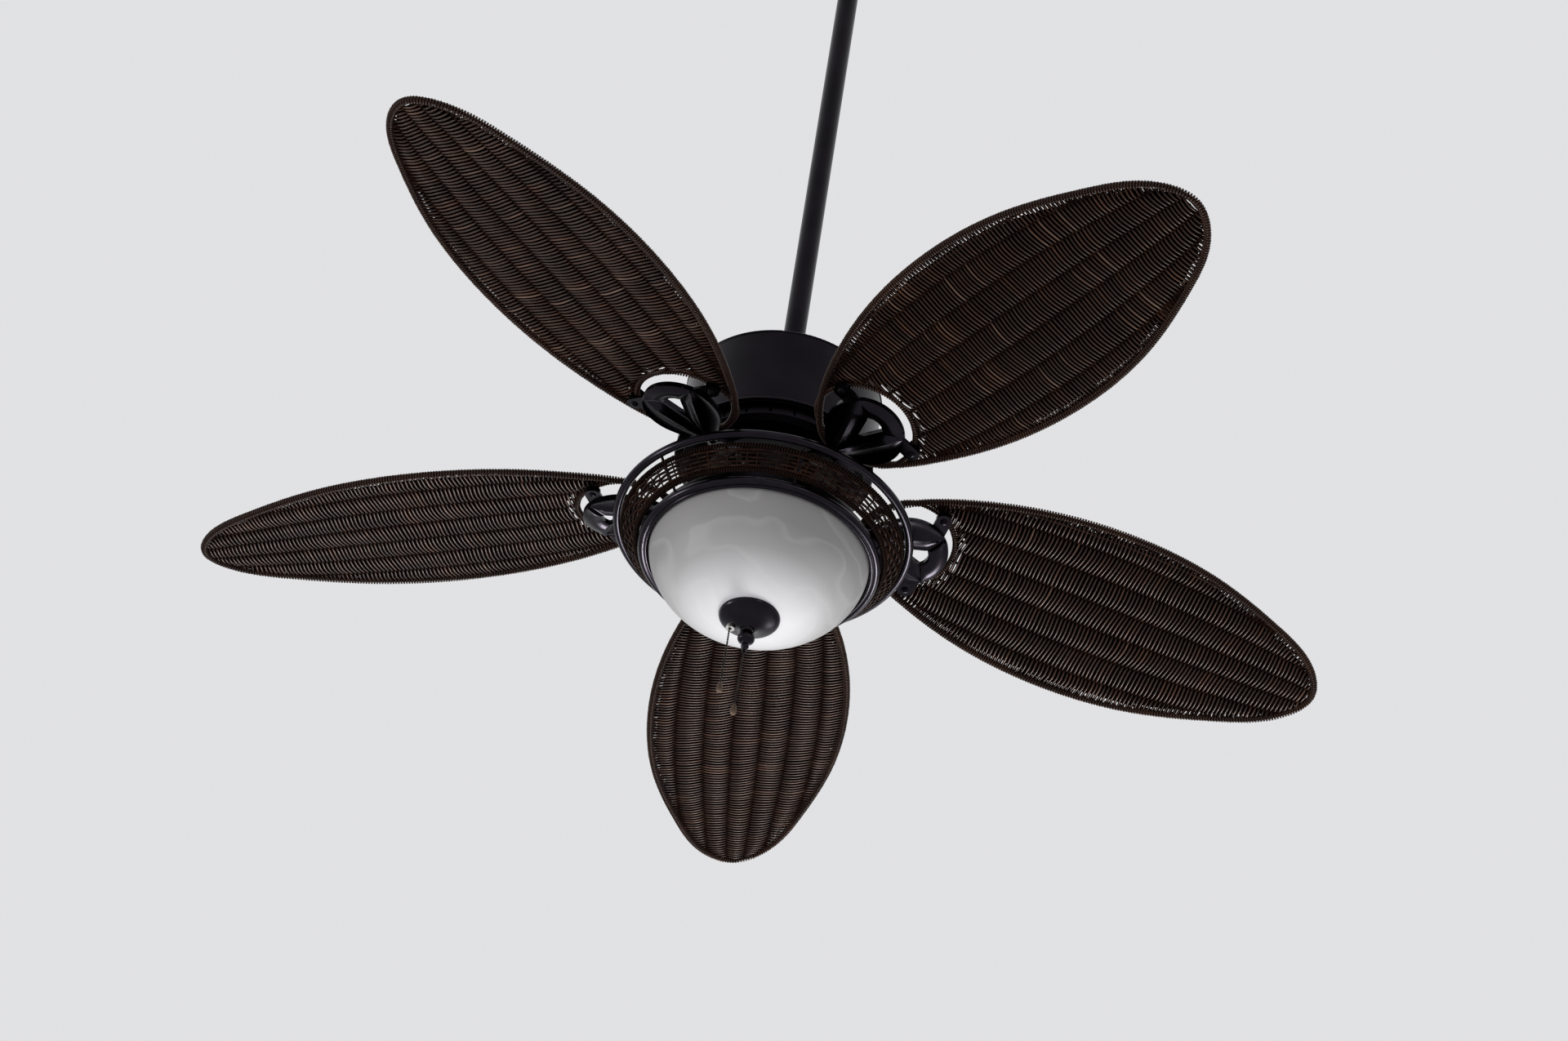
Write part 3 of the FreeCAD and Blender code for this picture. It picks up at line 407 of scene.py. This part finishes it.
def looseness(s, phases):
    """How far the rows' ends open up at s, on both sides: it comes and goes along the rim."""
    waves = sum(share * np.sin(rate * s + phase) for (rate, share), phase in zip(LOOSE_WAVES, phases))
    return np.clip(LOOSE_MEAN + waves, 0, 1)


def weave_blade(blade, number, material):
    """The crosswise rows, which pass over and under the stakes by turns."""
    random = np.random.default_rng(100 + number)
    bundle = Bundle(WAVE_HEIGHT)
    rows = int((blade.tip - RIM_RADIUS * 2 - blade.start) / ROW_PITCH)
    phases = random.uniform(0, 2 * math.pi, (len(LOOSE_WAVES), 2))
    for index in range(rows):
        s = blade.start + RIM_RADIUS + index * ROW_PITCH + random.uniform(-ROW_JITTER, ROW_JITTER)
        parity = 1 if index % 2 else -1
        start = blade.opening_half(s, 2 * OPENING_RIM - OPENING_OVERLAP)
        if index % 2 == 0:
            gathers = random.uniform(0.0, LOOSEST, 2) * looseness(s, phases)
        halves = [row_points(blade, s, side, start, parity, gather)
                  for side, gather in zip((1, -1), gathers)]
        if any(half is None for half in halves):
            continue
        radius = STRAND_RADIUS * random.uniform(*STRAND_SPREAD)
        if start:
            for half in halves:
                bundle.add(half, (1, 0, 0), radius, random.random())
        else:
            line = np.vstack([halves[1][:0:-1], halves[0]])
            bundle.add(line, (1, 0, 0), radius, random.random())
    return bundle.make(f"blade_{number}_weave", material, blade_matrix(number - 1))


def unbroken(line, clear):
    """The stretches of a line whose points are clear, each with two points or more."""
    edges = np.flatnonzero(np.diff(np.concatenate([[0], clear.astype(int), [0]])))
    return [line[a:b] for a, b in zip(edges[::2], edges[1::2]) if b - a > 1]


def stake_blade(blade, number, material):
    """Stakes along the blade, and the bed of fine inner strands that closes the weave."""
    random = np.random.default_rng(200 + number)
    bundle = Bundle(WAVE_HEIGHT)
    s = np.arange(blade.start + STAKE_ENDS[0], blade.tip - STAKE_ENDS[1], STAKE_STEP)
    half = np.array([blade.half_width(x) for x in s])
    opening = np.array([blade.opening_half(x, OPENING_RIM) for x in s])
    for lane in range(-LANES, LANES + 1):
        t = lane * np.array([blade.lane(x) for x in s])
        clear = (np.abs(t) < half - STAKE_CLEAR) & (np.abs(t) >= opening)
        for line in unbroken(np.stack([s, t, np.zeros(len(s))], axis=1), clear):
            bundle.add(line, (0, 0, 1), STAKE_RADIUS, random.random())
    bare = np.array([blade.opening_half(x, BED_MARGIN) for x in s])
    widest = half.max()
    for t in np.arange(-widest, widest, BED_PITCH):
        clear = (abs(t) < half - BED_MARGIN) & (abs(t) >= bare)
        line = np.stack([s, np.full(len(s), t), np.zeros(len(s))], axis=1)
        for stretch in unbroken(line, clear):
            # The bed's strands take the darkest tone and no painted light: painted shade between the
            # rows.
            bundle.add(stretch[[0, len(stretch) // 2, -1]], (0, 0, 1), BED_RADIUS, 0.0,
                       sides=BED_SIDES, painted_dark=True)
    return bundle.make(f"blade_{number}_stakes", material, blade_matrix(number - 1))


def wrapped(bundle, line, core, random):
    """A rod along a closed line in the blade's plane with a fine strand wound round it."""
    up = np.array([0.0, 0.0, 1.0])
    bundle.add(line, up, core, CORE_SHADE, sides=CORE_SIDES, closed=True)
    closing = np.vstack([line, line[:1]])
    length = distances(closing)[-1]
    count = int(round(length / WRAP_PITCH)) * TURN_POINTS
    centre = points_at(closing, np.arange(count) * length / count)
    along = np.roll(centre, -3, axis=0) - np.roll(centre, 3, axis=0)
    along /= np.linalg.norm(along, axis=1)[:, None]
    out = np.cross(along, up)
    angle = np.arange(count) * 2 * math.pi / TURN_POINTS
    reach = core + WRAP_RADIUS * (1 + random.uniform(-WRAP_SPREAD, WRAP_SPREAD, count))
    radial = np.cos(angle)[:, None] * out + np.sin(angle)[:, None] * up
    wound = centre + reach[:, None] * radial
    shades = WRAP_SHADE * random.random(WRAP_PIECES)
    for part, shade in enumerate(shades):
        first, last = part * count // WRAP_PIECES, (part + 1) * count // WRAP_PIECES
        chosen = np.arange(first, last + 2) % count
        # The winding's painted light is palest on its outer side, away from the core, with painted shade
        # on the side towards the core.
        bundle.add(wound[chosen], radial[chosen], WRAP_RADIUS, shade)


def inset(outline, distance):
    """A closed line moved inwards in its plane, as 3-D points."""
    along = np.roll(outline, -2, axis=0) - np.roll(outline, 2, axis=0)
    along /= np.linalg.norm(along, axis=1)[:, None]
    inward = np.stack([-along[:, 1], along[:, 0]], axis=1)
    centre = outline.mean(axis=0)
    if ((centre - outline) * inward).sum() < 0:
        inward = -inward
    moved = outline + distance * inward
    return np.column_stack([moved, np.zeros(len(moved))])


def opening_line(grow):
    """The opening's edge, grown outwards, as a closed line."""
    angle = np.linspace(0, 2 * math.pi, 180, endpoint=False)
    depth = np.where(np.cos(angle) > 0, OPENING_RADIUS, OPENING_DEPTH) + grow
    return np.stack([OPENING_CENTRE + depth * np.cos(angle),
                     (OPENING_RADIUS + grow) * np.sin(angle), np.zeros(len(angle))], axis=1)


def rim_blade(blade, number, material):
    """Wound rolls round the blade's outline and round its opening."""
    random = np.random.default_rng(300 + number)
    bundle = Bundle()
    wrapped(bundle, inset(blade.outline, RIM_RADIUS), RIM_RADIUS - 2 * WRAP_RADIUS, random)
    wrapped(bundle, opening_line(OPENING_RIM), OPENING_RIM - 2 * WRAP_RADIUS, random)
    return bundle.make(f"blade_{number}_rim", material, blade_matrix(number - 1))


def make_blades(material, rim_material):
    """Five woven blades in place of the frame's plain plates."""
    blade = Blade()
    for number in range(1, BLADE_COUNT + 1):
        weave = weave_blade(blade, number, material)
        stakes = stake_blade(blade, number, material)
        rim = rim_blade(blade, number, rim_material)
        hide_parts(f"blade_{number}")
        for piece in (weave, stakes, rim):
            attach(piece, "rotor")


# ---------------------------------------------------------------- blade irons

def plate_arc(start, end, count):
    """Points on the round plate's edge between two angles."""
    angle = np.radians(np.linspace(start, end, count))
    return np.stack([IRON_CENTRE + IRON_RADIUS * np.cos(angle), IRON_RADIUS * np.sin(angle)], axis=1)


def leaf_patch(side):
    """Lower face of one leaf: rows from the plate's middle, over the ridge, to its outer edge."""
    ridge = along_line(LEAF_RIDGE, IRON_STEPS)
    inner = along_line(LEAF_INNER, IRON_STEPS)
    edge = np.vstack([IRON_NECK, plate_arc(NECK_ANGLE, ARCH_ANGLE, PLATE_POINTS)])
    outer = along_line(edge, IRON_STEPS)
    parts = len(LEAF_FALL)
    rows = []
    for near, top, far in zip(inner, ridge, outer):
        for k, fall in enumerate(LEAF_FALL):
            rows.append((*(near + (top - near) * k / parts), fall))
        for k, fall in enumerate(LEAF_RISE):
            rows.append((*(top + (far - top) * k / parts), fall))
    grid = np.array(rows).reshape(IRON_STEPS, -1, 3)
    spread = np.linalg.norm(outer - inner, axis=1)
    depth = np.clip(spread / FULL_WIDTH, THINNEST, 1)
    grid[:, :, 2] = IRON_FACE - grid[:, :, 2] * depth[:, None]
    grid[:, :, 1] *= side
    return grid


def arch_patch():
    """Lower face of the rounded arch that joins the leaves beyond the hole."""
    middle = along_line(ARCH_INNER, ARCH_POINTS)
    left = along_line((LEAF_INNER[-1], ARCH_INNER[0]), ARCH_FOOT)[:-1]
    inner = np.vstack([left, middle, (left * (1, -1))[::-1]])
    outer = plate_arc(ARCH_ANGLE, -ARCH_ANGLE, len(inner))
    share = np.linspace(0, 1, ARCH_STEPS)
    flat = inner[:, None, :] * (1 - share[None, :, None]) + outer[:, None, :] * share[None, :, None]
    crown = ARCH_EDGE + ARCH_CROWN * np.sin(share * math.pi) ** 0.8
    height = np.broadcast_to(IRON_FACE - crown, flat.shape[:2])
    return np.concatenate([flat, height[:, :, None]], axis=2)


def shape_iron(number, material):
    """Dished leaves and rounded arch under the plate of one blade iron."""
    points, faces = [], []
    for grid in (leaf_patch(1), leaf_patch(-1), arch_patch()):
        rows, columns = grid.shape[:2]
        first = len(points)
        points += [tuple(p) for p in grid.reshape(-1, 3)]
        for i in range(rows - 1):
            for j in range(columns - 1):
                a = first + i * columns + j
                faces.append((a, a + 1, a + columns + 1, a + columns))
    shell = bmesh.new()
    corners = [shell.verts.new(p) for p in points]
    for face in faces:
        shell.faces.new([corners[k] for k in face])
    bmesh.ops.remove_doubles(shell, verts=shell.verts, dist=IRON_WELD)
    bmesh.ops.dissolve_degenerate(shell, edges=shell.edges, dist=0.00001)
    bmesh.ops.recalc_face_normals(shell, faces=shell.faces)
    if sum(face.normal.z * face.calc_area() for face in shell.faces) > 0:
        bmesh.ops.reverse_faces(shell, faces=shell.faces)
    low = list(shell.faces)
    raised = bmesh.ops.extrude_face_region(shell, geom=low)["geom"]
    for vertex in (item for item in raised if isinstance(item, bmesh.types.BMVert)):
        vertex.co.z = IRON_BACK
    bmesh.ops.recalc_face_normals(shell, faces=shell.faces)
    mesh = bpy.data.meshes.new(f"blade_iron_{number}_face")
    shell.to_mesh(mesh)
    shell.free()
    mesh.transform(blade_matrix(number - 1))
    mesh.shade_smooth()
    mesh.set_sharp_from_angle(angle=math.radians(IRON_SMOOTH))
    mesh.materials.append(material)
    piece = bpy.data.objects.new(f"blade_iron_{number}_face", mesh)
    bpy.context.scene.collection.objects.link(piece)
    bevel = piece.modifiers.new("edge", "BEVEL")
    bevel.width = IRON_EDGE
    bevel.segments = 2
    bevel.limit_method = "ANGLE"
    bevel.angle_limit = math.radians(IRON_CORNER)
    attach(piece, "rotor")


# ---------------------------------------------------------------- basket round the glass

def band_point(angle, slope, out):
    """Points on the basket's band: slope runs up it from its middle, out away from its surface."""
    start, end = np.array(RING_LOWER), np.array(RING_UPPER)
    up = (end - start) / np.linalg.norm(end - start)
    normal = np.array([up[1], -up[0]])
    middle = (start + end) / 2 + up * BAND_OFFSET
    radius = middle[0] + slope * up[0] + out * normal[0]
    height = middle[1] + slope * up[1] + out * normal[1] + BLADE_PLANE_Z
    return np.stack([radius * np.cos(angle), radius * np.sin(angle),
                     height + 0 * angle], axis=-1)


def make_basket(material):
    """Rows, stakes and wound edges of the woven band round the glass."""
    random = np.random.default_rng(7)
    weave, edges = Bundle(), Bundle()
    count = BAND_STAKES * BAND_POINTS
    angle = np.arange(count) * 2 * math.pi / count
    phase = angle * BAND_STAKES / 2
    inner_span = BAND_SPAN - BAND_EDGES
    for row in range(BAND_ROWS):
        parity = 1 if row % 2 else -1
        slope = (row + 0.5) / BAND_ROWS * inner_span - inner_span / 2
        wander = np.zeros(count)
        for wave in BAND_WAVES:
            wander += random.uniform(0, BAND_WANDER) * np.sin(wave * angle + random.uniform(0, 6.3))
        line = band_point(angle, slope + wander, parity * BAND_WAVE * np.cos(phase))
        inside = band_point(angle, slope + wander, np.full(count, -BAND_BEHIND))
        # Painted light: each strand and stake of the band is paler on its outer face, with painted shade
        # on its inner one.
        weave.add(line, line - inside, BAND_STRAND, random.random(), closed=True)
    share = np.linspace(-1, 1, BAND_STAKE_POINTS)
    slope = (BAND_SPAN / 2 - BAND_STAKE_END) * share
    for number in range(BAND_STAKES):
        at = number * 2 * math.pi / BAND_STAKES
        lean = random.uniform(-BAND_LEAN, BAND_LEAN)
        line = band_point(at + lean * share, slope, 0 * share)
        weave.add(line, (math.cos(at), math.sin(at), 0), BAND_STAKE, random.random())
    for side in (-1, 1):
        wrapped_band_edge(edges, side, random)
    woven = weave.make("basket_weave", material)
    edge = edges.make("basket_edges", material)
    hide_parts("wicker_band")
    for piece in (woven, edge):
        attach(piece, "hanger")


def wrapped_band_edge(bundle, side, random):
    """Wound roll along the band's upper or lower edge."""
    count = EDGE_TURNS * TURN_POINTS
    angle = np.arange(count) * 2 * math.pi / count
    middle = side * (BAND_SPAN / 2 - EDGE_CORE - 2 * EDGE_WINDING + EDGE_RISE)
    core = band_point(angle[::TURN_POINTS], np.full(EDGE_TURNS, middle), np.zeros(EDGE_TURNS))
    bundle.add(core, (0, 0, 1), EDGE_CORE, CORE_SHADE, closed=True)
    wind = np.arange(count) * 2 * math.pi / TURN_POINTS
    reach = (EDGE_CORE + EDGE_WINDING) * (1 + random.uniform(-EDGE_SPREAD, EDGE_SPREAD, count))
    line = band_point(angle, middle + reach * np.sin(wind), reach * np.cos(wind))
    centre = band_point(angle, np.full(count, middle), np.zeros(count))
    bundle.add(line, line - centre, EDGE_WINDING, random.random(), closed=True)


# ---------------------------------------------------------------- materials

class Nodes:
    """Short way to build a material's node tree."""

    def __init__(self, name):
        self.material = bpy.data.materials.new(name)
        self.material.use_nodes = True
        self.tree = self.material.node_tree
        self.shader = self.tree.nodes["Principled BSDF"]

    def set(self, **values):
        """Plain values on the shader, with underscores for the spaces in their names."""
        for name, value in values.items():
            self.shader.inputs[name.replace("_", " ")].default_value = value

    def node(self, kind, **settings):
        """A new node with its sockets or its own settings given by name."""
        made = self.tree.nodes.new(kind)
        for name, value in settings.items():
            if name in made.inputs:
                made.inputs[name].default_value = value
            else:
                setattr(made, name, value)
        return made

    def link(self, source, target):
        self.tree.links.new(source, target)

    def noise(self, scale, detail=4, stretch=(1, 1, 1)):
        """Noise in the object's own coordinates, from 0 to 1."""
        place = self.node("ShaderNodeTexCoord")
        mapping = self.node("ShaderNodeMapping")
        mapping.inputs["Scale"].default_value = stretch
        made = self.node("ShaderNodeTexNoise", Scale=scale, Detail=detail)
        self.link(place.outputs["Object"], mapping.inputs["Vector"])
        self.link(mapping.outputs["Vector"], made.inputs["Vector"])
        return made.outputs["Fac"]

    def ramp(self, source, *stops):
        """A colour ramp of (position, colour) stops driven by a value."""
        made = self.node("ShaderNodeValToRGB")
        elements = made.color_ramp.elements
        while len(elements) < len(stops):
            elements.new(0.5)
        for element, (position, colour) in zip(elements, stops):
            element.position = position
            element.color = (*colour, 1)
        self.link(source, made.inputs["Fac"])
        return made.outputs["Color"]

    def mix(self, share, first, second, blend="MIX"):
        """Two colours blended. Each argument may be a value or a socket."""
        made = self.node("ShaderNodeMix", data_type="RGBA", blend_type=blend)
        for socket, value in ((0, share), (6, first), (7, second)):
            if isinstance(value, (int, float)):
                made.inputs[socket].default_value = value
            elif isinstance(value, tuple):
                made.inputs[socket].default_value = (*value, 1)
            else:
                self.link(value, made.inputs[socket])
        return made.outputs[2]

    def map(self, source, low, high, start=0.0, end=1.0):
        """A value's range from start to end, brought to the range from low to high."""
        made = self.node("ShaderNodeMapRange")
        for name, value in (("From Min", start), ("From Max", end), ("To Min", low), ("To Max", high)):
            made.inputs[name].default_value = value
        self.link(source, made.inputs["Value"])
        return made.outputs["Result"]

    def colour(self, source):
        self.link(source, self.shader.inputs["Base Color"])

    def rough(self, source):
        self.link(source, self.shader.inputs["Roughness"])

    def bump(self, height, strength, distance):
        """Small relief from a value."""
        made = self.node("ShaderNodeBump")
        made.inputs["Strength"].default_value = strength
        made.inputs["Distance"].default_value = distance
        self.link(height, made.inputs["Height"])
        self.link(made.outputs["Normal"], self.shader.inputs["Normal"])

    def attribute(self, name):
        """A value that the mesh holds for each of its points."""
        made = self.node("ShaderNodeAttribute", attribute_name=name)
        return made.outputs["Fac"]


def wicker_material(name, strength):
    """Stained strands, darkened towards black in the hollows by painted shade and paler where they stand
    proud by a painted highlight.
    """
    made = Nodes(name)
    shade = made.attribute("shade")
    colour = made.ramp(shade, (0.0, (0.014, 0.006, 0.004)), (0.5, (0.032, 0.013, 0.008)),
                       (0.85, (0.060, 0.025, 0.014)), (0.96, (0.098, 0.040, 0.020)),
                       (1.0, (0.180, 0.110, 0.080)))
    blotches = made.noise(26)
    worn = made.mix(made.map(blotches, 0.0, 0.85, 0.38, 0.66), colour, (0.012, 0.007, 0.006))
    streaks = made.noise(900, 3)
    grained = made.mix(made.map(streaks, 0.0, 0.35, 0.4, 0.7), worn, (0.080, 0.040, 0.028))
    # Painted shade and highlight: hollows mix towards near black, proud tops towards the stained colour,
    # and strength caps how pale the tops get.
    depth = made.map(made.attribute("painted_light"), 0.0, strength, 0.16, 0.86)
    made.colour(made.mix(depth, (0.0020, 0.0013, 0.0013), grained))
    # Painted shade in the reflections too: the specular level falls away in the hollows and rises on the
    # proud tops.
    made.link(made.map(depth, 0.0, 0.56, 0.35, 1.0), made.shader.inputs["Specular IOR Level"])
    # The export drops that link and keeps the plain level set here.
    made.set(Specular_IOR_Level=0.30, Specular_Tint=(1.0, 0.76, 0.66, 1))
    made.rough(made.map(streaks, 0.22, 0.38))
    made.bump(streaks, 0.35, 0.0003)
    return made.material


def bronze_material():
    """Oiled bronze on the spun and pressed covers: near black, with a soft sheen."""
    made = Nodes("oiled_bronze")
    clouds = made.noise(22, 5)
    specks = made.noise(420, 3)
    made.colour(made.ramp(clouds, (0.3, (0.0065, 0.0055, 0.0075)), (0.7, (0.0110, 0.0090, 0.0120))))
    made.rough(made.map(specks, 0.26, 0.40))
    made.bump(specks, 0.08, 0.0004)
    made.set(Metallic=1.0)
    return made.material


def polished_bronze():
    """The same finish on turned and cast parts, where it's smoother."""
    made = Nodes("polished_bronze")
    clouds = made.noise(30, 5)
    specks = made.noise(520, 3)
    made.colour(made.ramp(clouds, (0.3, (0.014, 0.012, 0.016)), (0.7, (0.023, 0.020, 0.025))))
    made.rough(made.map(specks, 0.17, 0.27))
    made.bump(specks, 0.06, 0.0004)
    made.set(Metallic=1.0)
    return made.material


def plain_material(name, low, high, roughness, metallic=0.0, scale=60):
    """A finish with mottled colour, varied roughness and a fine grain."""
    made = Nodes(name)
    clouds = made.noise(scale, 4)
    grain = made.noise(scale * 14, 3)
    made.colour(made.ramp(clouds, (0.3, low), (0.7, high)))
    made.rough(made.map(grain, roughness - 0.06, roughness + 0.08))
    made.bump(grain, 0.12, 0.0003)
    made.set(Metallic=metallic)
    return made.material


def alabaster_material():
    """Frosted glass with faint pale threads, and painted light that makes it paler towards the bowl's
    foot, with painted shade at its top.
    """
    made = Nodes("alabaster_glass")
    swirl = made.noise(17, 0.8, (1.0, 0.7, 1.6))
    threads = made.ramp(swirl, (0.42, (0.0, 0.0, 0.0)), (0.50, (1.0, 1.0, 1.0)), (0.54, (0.0, 0.0, 0.0)))
    clouds = made.ramp(made.noise(5, 3), (0.3, (0.92, 0.92, 0.93)), (0.7, (1.0, 1.0, 1.0)))
    place = made.node("ShaderNodeTexCoord")
    height = made.node("ShaderNodeSeparateXYZ")
    made.link(place.outputs["Object"], height.inputs["Vector"])
    # Painted light and shade: the colour runs from dark at the bowl's top to pale at its foot, by height.
    fall = made.map(height.outputs["Z"], 0.0, 1.0, GLASS_SHADE_TOP, GLASS_LIGHT_LOW)
    body = made.ramp(fall, (0.0, (0.262, 0.255, 0.249)), (0.45, (0.290, 0.283, 0.279)),
                     (0.72, (0.405, 0.398, 0.396)), (1.0, (0.74, 0.73, 0.74)))
    share = made.map(threads, 0.0, 0.09)
    made.colour(made.mix(share, made.mix(1.0, body, clouds, "MULTIPLY"), (0.82, 0.82, 0.82)))
    made.rough(made.map(swirl, 0.52, 0.60))
    made.set(Specular_IOR_Level=0.30)
    return made.material


def make_materials():
    """Every finish by its name: the record's slots, and those that only this script uses."""
    return {
        "wicker": wicker_material("dark_wicker", 0.78),
        "rim_wicker": wicker_material("rim_wicker", 0.62),
        # A darker copy of the wicker, its painted highlight held low: painted shade over the whole
        # basket.
        "shaded_basket_wicker": wicker_material("shaded_basket_wicker", 0.42),
        "bronze_finish": bronze_material(),
        "alabaster_glass": alabaster_material(),
        "polished_bronze": polished_bronze(),
        "black_enamel": plain_material("black_enamel", (0.010, 0.010, 0.011), (0.020, 0.020, 0.021), 0.4),
        "zinc_plate": plain_material("zinc_plate", (0.42, 0.43, 0.44), (0.60, 0.61, 0.62), 0.38, 0.9),
        "machined_steel": plain_material("machined_steel", (0.45, 0.45, 0.46), (0.62, 0.62, 0.63),
                                         0.30, 1.0),
        "cast_alloy": plain_material("cast_alloy", (0.36, 0.37, 0.38), (0.50, 0.51, 0.52), 0.5, 0.8),
        "copper_wire": plain_material("copper_wire", (0.45, 0.17, 0.07), (0.62, 0.27, 0.12), 0.35, 0.9),
        "black_nylon": plain_material("black_nylon", (0.012, 0.012, 0.013), (0.025, 0.025, 0.026), 0.45),
        "white_ceramic": plain_material("white_ceramic", (0.66, 0.65, 0.61), (0.78, 0.77, 0.73), 0.28),
        "frosted_bulb": plain_material("frosted_bulb", (0.78, 0.78, 0.76), (0.86, 0.86, 0.84), 0.42),
        "black_rubber": plain_material("black_rubber", (0.010, 0.010, 0.010), (0.022, 0.022, 0.022), 0.7),
        "grommet_metal": plain_material("grommet_metal", (0.55, 0.54, 0.52), (0.75, 0.74, 0.72),
                                        0.22, 0.9),
        "chain_bronze": plain_material("chain_bronze", (0.014, 0.011, 0.010), (0.030, 0.024, 0.021),
                                       0.38, 1.0),
        "fob_brass": plain_material("fob_brass", (0.07, 0.045, 0.032), (0.15, 0.10, 0.07), 0.32, 0.8),
    }


def dress_cad_nodes(materials):
    """Each CAD node takes the finish of its slot in the record, or the one of the lists above."""
    for name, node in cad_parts.items():
        for index, material in enumerate(node.data.materials):
            slot = material.name.split(".")[0]
            if name in ENAMELLED:
                slot = "black_enamel"
            if name in POLISHED:
                slot = "polished_bronze"
            if slot in materials:
                node.data.materials[index] = materials[slot]
            else:
                print("no finish for", name, material.name)


# ---------------------------------------------------------------- pull chains

def chain_curve(name, route):
    """Points along the chain's smooth line."""
    curve = bpy.data.curves.new(name, "CURVE")
    curve.dimensions = "3D"
    curve.resolution_u = 24
    spline = curve.splines.new("NURBS")
    spline.points.add(len(route) - 1)
    for point, place in zip(spline.points, route):
        point.co = (*place, 1)
    spline.order_u = 3
    spline.use_endpoint_u = True
    holder = bpy.data.objects.new(name, curve)
    mesh = bpy.data.meshes.new_from_object(holder)
    line = np.array([v.co for v in mesh.vertices])
    bpy.data.objects.remove(holder)
    return line


def bead(bundle_points, bundle_faces, centre, radius):
    """One ball of a chain, added to the points and faces."""
    rings, sides = BEAD_RINGS, BEAD_SIDES
    first = len(bundle_points)
    bundle_points.append(centre + np.array([0, 0, radius]))
    for ring in range(1, rings):
        angle = math.pi * ring / rings
        for side in range(sides):
            turn = 2 * math.pi * side / sides
            bundle_points.append(centre + radius * np.array([
                math.sin(angle) * math.cos(turn), math.sin(angle) * math.sin(turn),
                math.cos(angle)]))
    bundle_points.append(centre - np.array([0, 0, radius]))
    last = len(bundle_points) - 1
    for side in range(sides):
        after = (side + 1) % sides
        bundle_faces.append((first, first + 1 + side, first + 1 + after))
        for ring in range(rings - 2):
            low = first + 1 + ring * sides
            bundle_faces.append((low + side, low + sides + side, low + sides + after, low + after))
        low = first + 1 + (rings - 2) * sides
        bundle_faces.append((low + side, last, low + after))


def make_chain(name, route, material):
    """Balls on a wire along the route, which ride with the pull and stand for the plain chain."""
    line = chain_curve(name + "_line", route)
    centres = evenly(line, BEAD_SPACING)
    points, faces = [], []
    for centre in centres[:-1]:
        bead(points, faces, centre, CHAIN_RADIUS)
    wire = Bundle()
    wire.add(line, (1, 0, 0), WIRE_RADIUS, 0.5)
    offset = len(points)
    points += list(np.concatenate(wire.points))
    faces += [tuple(int(i) + offset for i in face) for face in np.concatenate(wire.faces)]
    mesh = bpy.data.meshes.new(name + "_beads")
    mesh.from_pydata([tuple(p) for p in points], [], faces)
    mesh.shade_smooth()
    mesh.materials.append(material)
    piece = bpy.data.objects.new(name + "_beads", mesh)
    bpy.context.scene.collection.objects.link(piece)
    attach(piece, name.replace("_chain", "_pull"))
    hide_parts(name)


# ---------------------------------------------------------------- stage and light

def make_stage():
    """A plain pale floor, far below the camera, which looks upwards."""
    mesh = bpy.data.meshes.new("floor")
    corners = [(x * FLOOR_HALF, y * FLOOR_HALF, FLOOR_Z) for x, y in ((-1, -1), (1, -1), (1, 1), (-1, 1))]
    mesh.from_pydata(corners, [], [(0, 1, 2, 3)])
    floor = bpy.data.objects.new("floor", mesh)
    bpy.context.scene.collection.objects.link(floor)
    pale = Nodes("pale_floor")
    pale.set(Base_Color=(0.75, 0.75, 0.75, 1), Roughness=0.9)
    mesh.materials.append(pale.material)


def area_light(name, place, size, power):
    """A square soft light that faces the fan."""
    light = bpy.data.lights.new(name, "AREA")
    light.shape = "SQUARE"
    light.size = size
    light.energy = power
    lamp = bpy.data.objects.new(name, light)
    lamp.location = place
    lamp.rotation_mode = "QUATERNION"
    lamp.rotation_quaternion = (Vector(LIGHTS_TARGET) - Vector(place)).to_track_quat("-Z", "Y")
    bpy.context.scene.collection.objects.link(lamp)


def make_lights():
    """Even pale surroundings, a soft key from below and behind, and two weak side lights."""
    world = bpy.data.worlds.new("studio")
    world.use_nodes = True
    background = world.node_tree.nodes["Background"]
    background.inputs["Color"].default_value = (0.755, 0.757, 0.770, 1)
    background.inputs["Strength"].default_value = 1.0
    bpy.context.scene.world = world
    area_light("key", (1.1, 3.8, -4.2), 1.4, 185)
    area_light("side", (-3.6, -1.0, -2.4), 0.6, 48)
    area_light("front", (2.4, -3.6, -1.0), 0.6, 9)


bpy.context.scene.view_settings.view_transform = "Standard"
make_camera()
materials = make_materials()
make_chain("fan_chain", FAN_CHAIN, materials["chain_bronze"])
make_chain("light_chain", LIGHT_CHAIN, materials["chain_bronze"])
make_blades(materials["wicker"], materials["rim_wicker"])
for number in range(1, BLADE_COUNT + 1):
    shape_iron(number, materials["polished_bronze"])
make_basket(materials["shaded_basket_wicker"])
dress_cad_nodes(materials)
make_stage()
make_lights()
